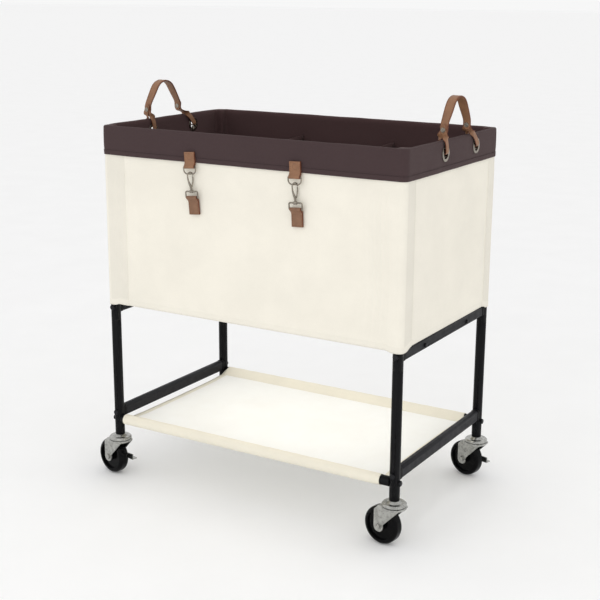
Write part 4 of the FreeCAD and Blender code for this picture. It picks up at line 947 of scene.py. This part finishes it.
def shelf():
    """One cloth: round the front rod, across, round the back rod, with both ends sewn under."""
    radius = ROD_R + 1.0 * MM
    level = 0.1238
    arm = [(POST_Y - 0.030, level - 0.0018), (POST_Y - 0.020, level - 0.0016)]
    for degrees in range(-120, 121, 12):
        angle = math.radians(degrees)
        arm.append((POST_Y + radius * math.cos(angle), ROD_Z + radius * math.sin(angle)))
    # from the rod down to the seam, and onto the panel
    arm += [(POST_Y - inward, level + lift) for inward, lift in (
        (0.0135, 0.0044), (0.0185, 0.0024), (0.0212, 0.0016), (0.0218, 0.0001), (0.0240, -0.0001),
        (0.0290, 0.0))]
    front, back = [[(sy * y, z) for y, z in arm] for sy in (-1, 1)]
    middle = [(y, level) for y in [-0.160 + 0.32 * i / 46 for i in range(47)]]
    path = front + middle + back[::-1]
    rows = []
    count = 92
    length = SHELF_RIGHT - SHELF_LEFT
    for i in range(count + 1):
        t = i / count
        row = []
        for y, z in path:
            inner = smooth((POST_Y - 0.022 - abs(y)) / 0.04)
            x = SHELF_LEFT + length * t
            # the panel's ends bow in a little between the sleeves
            bow = 0.004 * inner * (1 - (y / POST_Y) ** 2)
            x += bow * (1 - 2 * t)
            sleeve = smooth((abs(y) - POST_Y + 0.014) / 0.006)
            back_off = 0.0055 * sleeve if t == 0 or t == 1 else 0.0
            x += back_off * (1 if t == 0 else -1)
            sag = -0.0014 * inner * math.sin(math.pi * t) ** 0.6
            sag += inner * 0.0005 * ripple(x * 9, y * 12, 3)
            crumple = 0.0004 * ripple(x * 38, y * 30, 8) * (0.25 + sleeve)
            pull = 0.0006 * sleeve * ripple(x * 70, z * 50, 12)
            row.append(Vector((x, y, z + sag + crumple + pull)))
        rows.append(row)
    cloth = grid_piece("shelf_cloth", rows, [SHELF_CLOTH, SHELF_HEM], face_material=lambda r, c: int(
        r < 2 or r >= count - 2 or max(abs(path[c][0]), abs(path[c + 1][0])) > POST_Y - 0.0214))
    thicken(cloth, 0.8 * MM, offset=0)
    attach(cloth, "frame")
    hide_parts("shelf_sheet")
    runs = []
    up = [Vector((0, 0, 1))]
    for sy in (-1, 1):
        runs.append(([Vector((SHELF_LEFT + 0.004 + (length - 0.008) * i / 40, sy * (POST_Y - 0.0196),
                              level + 0.0023)) for i in range(41)], up))
    thread = stitches("shelf_thread", runs, THREAD_PALE, radius=0.3 * MM)
    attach(thread, "frame")


# ---------------------------------------------------------------- handles

def arch(side, sx):
    """Strap over the hand: upright ends, leaning legs and a round top."""
    leg = [(ARCH_HALF, RIVET_Z - 0.0088), (ARCH_HALF, RIVET_Z), (ARCH_HALF - 0.0006, 0.7710),
           (0.0470, 0.7780), (0.0414, 0.7860), (0.0346, 0.7955), (0.0278, 0.8050), (0.0219, 0.8115),
           (0.0144, 0.8163), (0.0060, 0.8189)]
    line = spline([(0, -y, z) for y, z in leg] + [(0, 0, 0.8195)] + [(0, y, z) for y, z in leg[::-1]], 200)
    count = 96
    fine = [p + Vector((sx * HANDLE_X, ARCH_Y, 0)) for p in resample(line, 8 * count)]
    # points close together at the two rounded ends
    length = sum((b - a).length for a, b in zip(fine, fine[1:]))
    end = 0.008
    shares = [end / length * (i / 8) ** 2 for i in range(8)]
    middle = [end / length + (1 - 2 * end / length) * i / (count - 17) for i in range(count - 16)]
    shares = shares + middle + [1 - t for t in shares[::-1]]
    path, widths = [], []
    for share in shares:
        path.append(fine[min(round(share * (len(fine) - 1)), len(fine) - 1)])
        near = min(min(share, 1 - share) * length, end)
        rounding = (0.0014 + math.sqrt(max(end ** 2 - (end - near) ** 2, 0))) / 0.0094
        taper = 0.0156 + 0.0032 * smooth((path[-1].z - RIVET_Z - 0.004) / 0.036)
        widths.append(taper * rounding)
    count = len(path)
    item = strap("arch_strap_" + side, path, widths, [Vector((1, 0, 0))] * count, 2.7 * MM, [HIDE, HIDE_EDGE])
    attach(item, "handle_" + side)
    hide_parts("handle_arch_" + side)
    runs = []
    for edge in (-1, 1):
        thread = []
        normals = []
        # clear of the loop straps, which lie against the arch below this
        for index in [i for i in range(1, count - 1) if path[i].z > RIVET_Z + 0.0140]:
            before, after = path[index - 1], path[index + 1]
            along = (after - before).normalized()
            out = along.cross(Vector((1, 0, 0)))
            if out.z < 0:
                out = -out
            if abs(out.z) < 0.3 and (out.y > 0) != (path[index].y > ARCH_Y):
                out = -out
            thread.append(path[index] + Vector((edge * (widths[index] / 2 - 0.0021), 0, 0)) + out * 0.00142)
            normals.append(out)
        runs.append((thread, normals))
    sewing = stitches("arch_thread_" + side, runs, HIDE_EDGE, radius=0.25 * MM, pitch=4.4 * MM)
    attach(sewing, "handle_" + side)


def loop_straps(side, sx):
    """Strap ends: from the rivet down outside, through the eyelet and up inside to the rivet."""
    thick = 1.4 * MM
    out_x = sx * (0.3377 + 0.0013 + 0.0006 + 0.0015)
    in_x = sx * (LINER_X - 0.001 - 0.0013 - 0.0006 - 0.0012)
    middle = sx * HANDLE_X
    for end, sy in (("front", -1), ("back", 1)):
        eye_y = EYE_Y + sy * EYE_SPACING / 2
        plate_y = ARCH_Y + sy * (ARCH_HALF + 0.0033)
        outer = plate_y + sy * 0.00078
        inner = plate_y - sy * 0.00078
        through = EYE_Z - 0.0012
        lean = (RIM_Z - 0.005 - EYE_Z) / (RIVET_Z - EYE_Z)
        over_y = eye_y + (plate_y - eye_y) * lean * 0.92
        points = [
            (middle - sx * 0.0010, outer, RIVET_Z + 0.0105),
            (middle, outer, RIVET_Z),
            (middle + sx * 0.0026, outer, RIVET_Z - 0.0080),
            (out_x - sx * 0.0006, outer + (over_y - outer) * 0.55, RIM_Z + 0.0035),
            (out_x, over_y, RIM_Z - 0.004),
            (out_x + sx * 0.0004, (over_y + eye_y) / 2, EYE_Z + 0.013),
            (out_x - sx * 0.0002, eye_y, through + 0.0035),
            (out_x - sx * 0.0022, eye_y, through + 0.0005),
            ((out_x + in_x) / 2, eye_y, through - 0.0003),
            (in_x + sx * 0.0022, eye_y, through + 0.0005),
            (in_x + sx * 0.0002, eye_y, through + 0.0035),
            (in_x - sx * 0.0004, (over_y + eye_y) / 2, EYE_Z + 0.013),
            (in_x, over_y, RIM_Z - 0.004),
            (in_x + sx * 0.0006, inner + (over_y - inner) * 0.55, RIM_Z + 0.0035),
            (middle - sx * 0.0044, inner, RIVET_Z - 0.0080),
            (middle, inner, RIVET_Z),
            (middle + sx * 0.0010, inner, RIVET_Z + 0.0105),
        ]
        count = 96
        path = spline(points, count)
        widths, ways = [], []
        for index, p in enumerate(path):
            high = smooth((p.z - RIM_Z + 0.003) / 0.0120)
            share = min(index, count - 1 - index) / (count - 1)
            widths.append(0.0118 - 0.0040 * (1 - smooth(share / 0.03)))
            # across the wall at the eyelet, across the arch at the rivet
            flip = 1 if index < count / 2 else -1
            across = Vector((sx * high * flip, 1 - high, 0))
            if across.length < 0.2:
                across = Vector((sx * flip, 1, 0))
            ways.append(across.normalized())
        item = strap(f"loop_strap_{side}_{end}", path, widths, ways, thick, [HIDE, HIDE_EDGE])
        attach(item, "frame")
        if sy < 0:
            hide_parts("handle_loop_" + side)


# ---------------------------------------------------------------- clasp tabs

def lean_matrix(side, level):
    """Frame of a clasp piece on its leaning line at a level."""
    x, lean = CLASPS[side]
    tilt = -math.radians(lean)
    offset = level - CLASP_MID_Z
    place = Vector((x + offset * math.sin(tilt), CLASP_Y, CLASP_MID_Z + offset * math.cos(tilt)))
    return Matrix.Translation(place) @ Matrix.Rotation(tilt, 4, "Y")


def folded_tab(name, side, level, way, reach, bar, back, material, node):
    """Leather strip folded round a bar, with its two layers sewn together.
    way is 1 if the tab goes up from its bar and -1 if it goes down."""
    strip = 1.75 * MM
    bend = bar + 0.0003 + strip / 2
    rear, front = back - strip / 2, back - 0.0040 + strip / 2
    points = [(rear, reach), (rear, reach * 0.66), (rear, reach * 0.36), (rear - 0.0004, 0.0052)]
    points += [(bend * math.cos(math.radians(a)), bend * math.sin(math.radians(a)))
               for a in range(20, -201, -20)]
    points += [(front - 0.0014, 0.0056), (front, 0.0095), (front, reach * 0.5), (front, reach * 0.75),
               (front, reach)]
    path = spline([(0, y, way * z) for y, z in points], 64)
    place = lean_matrix(side, level)
    across = (place.to_3x3() @ Vector((1, 0, 0))).normalized()
    item = strap(name, [place @ p for p in path], [0.0236] * 64, [across] * 64, strip,
                 [material, HIDE_EDGE], 0.3)
    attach(item, "frame")
    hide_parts(node)
    face_y = front - strip / 2 - 0.0001
    normal = (place.to_3x3() @ Vector((0, -1, 0))).normalized()
    runs = [([place @ Vector((edge * 0.0094, face_y, way * (0.0100 + (reach - 0.0125) * t)))
              for t in (0, 0.5, 1)], [normal]) for edge in (-1, 1)]
    runs.append(([place @ Vector((0.0094 * t, face_y, way * (reach - 0.0025))) for t in (-1, 0, 1)],
                 [normal]))
    sewing = stitches(name + "_thread", runs, HIDE_EDGE, pitch=3.4 * MM, length=2.3 * MM, radius=0.24 * MM)
    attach(sewing, "frame")
    return place, face_y


def pressed_ring(side, place, face_y):
    """Plain round mark pressed into the upper tab: a low ring of leather."""
    points, faces, uvs = [], [], []
    around, radius = 36, 0.0052
    for step in range(around):
        angle = 2 * math.pi * step / around
        for j in range(6):
            turn = 2 * math.pi * j / 6
            r = radius + 0.0005 * math.cos(turn)
            points.append(place @ Vector((r * math.cos(angle), face_y - 0.00022 * math.sin(turn),
                                          0.0185 + r * math.sin(angle))))
            uvs.append((angle * radius, j * 0.0005))
    for step in range(around):
        for j in range(6):
            a, b = step * 6 + j, step * 6 + (j + 1) % 6
            c, d = ((step + 1) % around) * 6 + (j + 1) % 6, ((step + 1) % around) * 6 + j
            faces.append((a, b, c, d))
    ring = new_piece("tab_mark_" + side, points, faces, uvs, [HIDE_LOWER])
    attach(ring, "frame")


# ---------------------------------------------------------------- snap hooks

HOOK_BASE_Z, HOOK_YAW = 0.6386, 50


def wire_piece(name, body, place, points, radii, node):
    """A round cast wire along a smooth path, with its own radius at each given point."""
    sides = WIRE_SIDES
    path = spline([(x, 0, z) for x, z in points], WIRE_STEPS)
    rows = []
    for index, spot in enumerate(path):
        before, after = path[max(index - 1, 0)], path[min(index + 1, WIRE_STEPS - 1)]
        along = (after - before).normalized()
        side = Vector((0, 1, 0))
        out = along.cross(side)
        share = index / (WIRE_STEPS - 1) * (len(radii) - 1)
        low = min(int(share), len(radii) - 2)
        radius = radii[low] + (radii[low + 1] - radii[low]) * (share - low)
        # rounded ends
        end = min(index, WIRE_STEPS - 1 - index)
        radius *= WIRE_TIP[min(end, 2)]
        rows.append([place @ (spot + (out * math.cos(a) + side * math.sin(a)) * radius * MM)
                     for a in [2 * math.pi * i / sides for i in range(sides)]])
    points = [p for row in rows for p in row]
    faces = [(r * sides + c, r * sides + (c + 1) % sides,
              (r + 1) * sides + (c + 1) % sides, (r + 1) * sides + c)
             for r in range(WIRE_STEPS - 1) for c in range(sides)]
    faces += [tuple(range(sides - 1, -1, -1)), tuple((WIRE_STEPS - 1) * sides + c for c in range(sides))]
    item = new_piece(name, points, faces, None, [MATERIALS["nickel"]])
    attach(item, body)
    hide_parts(node)


def snap_hook(side):
    """Cast hook: a drop-shaped body narrow at the swivel, and a gate that closes it."""
    place = lean_matrix(side, HOOK_BASE_Z) @ Matrix.Rotation(math.radians(HOOK_YAW), 4, "Z")
    body = [(0.3, -5.2), (0.0, -1.0), (-0.6, 3.0), (-2.6, 8.5), (-4.4, 15.0), (-5.05, 21.0), (-5.05, 25.2),
            (-4.4, 27.6), (-2.55, 29.45), (0.0, 30.1), (2.55, 29.45), (4.4, 27.6), (5.05, 25.2), (5.0, 22.9)]
    wire_piece("hook_wire_" + side, "hook_" + side, place, [(x * MM, z * MM) for x, z in body],
               (2.1, 2.5, 2.4, 1.7, 1.45, 1.32, 1.30, 1.30, 1.35), "snap_hook_" + side)
    gate = [(2.4, 1.8), (2.7, 4.5), (3.9, 10.0), (4.8, 16.0), (5.0, 22.2)]
    wire_piece("gate_wire_" + side, "catch_" + side, place, [(x * MM, z * MM) for x, z in gate],
               (1.2, 1.4, 1.3, 1.25, 1.2), "gate_" + side)


# ---------------------------------------------------------------- CAD pieces that stay

EDGE_WIDTH = {"post_paint": 0.4, "rail_paint": 0.5, "fitting_plastic": 0.35, "dark_fastener": 0.3,
              "rim_steel": 0.2, "board": 0.4, "nickel": 0.25, "zinc_steel": 0.35, "wheel_plastic": 0.5}


def finish_nodes():
    """Each CAD piece that stays gets its material, a weld and softened edges."""
    for item in NODES.values():
        if item.hide_render:
            continue
        slot_name = item.material_slots[0].material.name.split(".")[0]
        material = MATERIALS.get(slot_name)
        if material is None:
            continue
        for slot in item.material_slots:
            slot.material = material
        weld(item)
        round_edges(item, EDGE_WIDTH[slot_name] * MM)


# ---------------------------------------------------------------- stage, light and camera

def stage():
    """A wide pale floor under soft light."""
    reach = 60
    steps = [-reach, -8, -3, -1, 0, 1, 3, 8, reach]
    rows = [[Vector((x, y, -0.0004)) for x in steps] for y in steps]
    m = Nodes("stage_floor")
    paper = m.noise(6, 4)
    m.finish(m.ramp(paper, [(0.96, 0.96, 0.96), (0.98, 0.98, 0.98)]), m.spread(paper, 0.8, 0.95))
    grid_piece("stage_floor", rows, [m.material])


def area_light(name, place, target, size, power):
    data = bpy.data.lights.new(name, "AREA")
    data.shape = "RECTANGLE"
    data.size, data.size_y = size
    data.energy = power
    item = bpy.data.objects.new(name, data)
    item.location = place
    item.rotation_euler = (Vector(target) - Vector(place)).to_track_quat("-Z", "Y").to_euler()
    bpy.context.scene.collection.objects.link(item)
    return item


def light():
    world = bpy.data.worlds.new("studio")
    bpy.context.scene.world = world
    world.use_nodes = True
    background = world.node_tree.nodes["Background"]
    background.inputs["Color"].default_value = (1.0, 1.0, 1.0, 1)
    background.inputs["Strength"].default_value = 0.93
    area_light("key", (0.2, -2.9, 2.0), (0, 0, 0.45), (2.0, 1.4), 6)
    area_light("fill", (2.8, -0.6, 1.6), (0, 0, 0.4), (1.2, 1.2), 2.5)
    area_light("low", (0.1, -2.3, 0.75), (0, 0, 0.1), (1.8, 0.4), 2.5)
    # lifts the shade over the shelf; the camera doesn't see it
    area_light("shelf_fill", (0, 0, 0.36), (0, 0, 0.1), (0.56, 0.32), 0.42).visible_camera = False
    bpy.context.scene.view_settings.view_transform = "Standard"


def camera():
    data = bpy.data.cameras.new("camera")
    data.lens = 71.29
    data.sensor_width = 36.0
    item = bpy.data.objects.new("camera", data)
    right = Vector((0.85596, 0.51703, 0.00532))
    up = Vector((-0.13490, 0.21337, 0.96762))
    back = right.cross(up)
    turn = Matrix((right, up, back)).transposed().to_4x4()
    item.matrix_world = Matrix.Translation((1.2242, -2.0284, 1.0052)) @ turn
    bpy.context.scene.collection.objects.link(item)
    bpy.context.scene.camera = item


# ---------------------------------------------------------------- build

camera()
light()
stage()

canvas_bag()
canvas_floor()
canvas_stitching()
cuff_stitching(liner())
shelf()

for side, sx in SIDES.items():
    divider(side, sx)
    arch(side, sx)
    loop_straps(side, sx)
    tab_place, tab_face = folded_tab("upper_tab_" + side, side, RING_BAR_Z, 1, 0.028, 0.0013, 0.0056,
                                     HIDE, "cuff_tab_" + side)
    pressed_ring(side, tab_place, tab_face)
    snap_hook(side)
    folded_tab("lower_tab_" + side, side, EYE_LOOP_Z, -1, 0.033, 0.0015, 0.0069, HIDE_LOWER,
               "bag_tab_" + side)

finish_nodes()
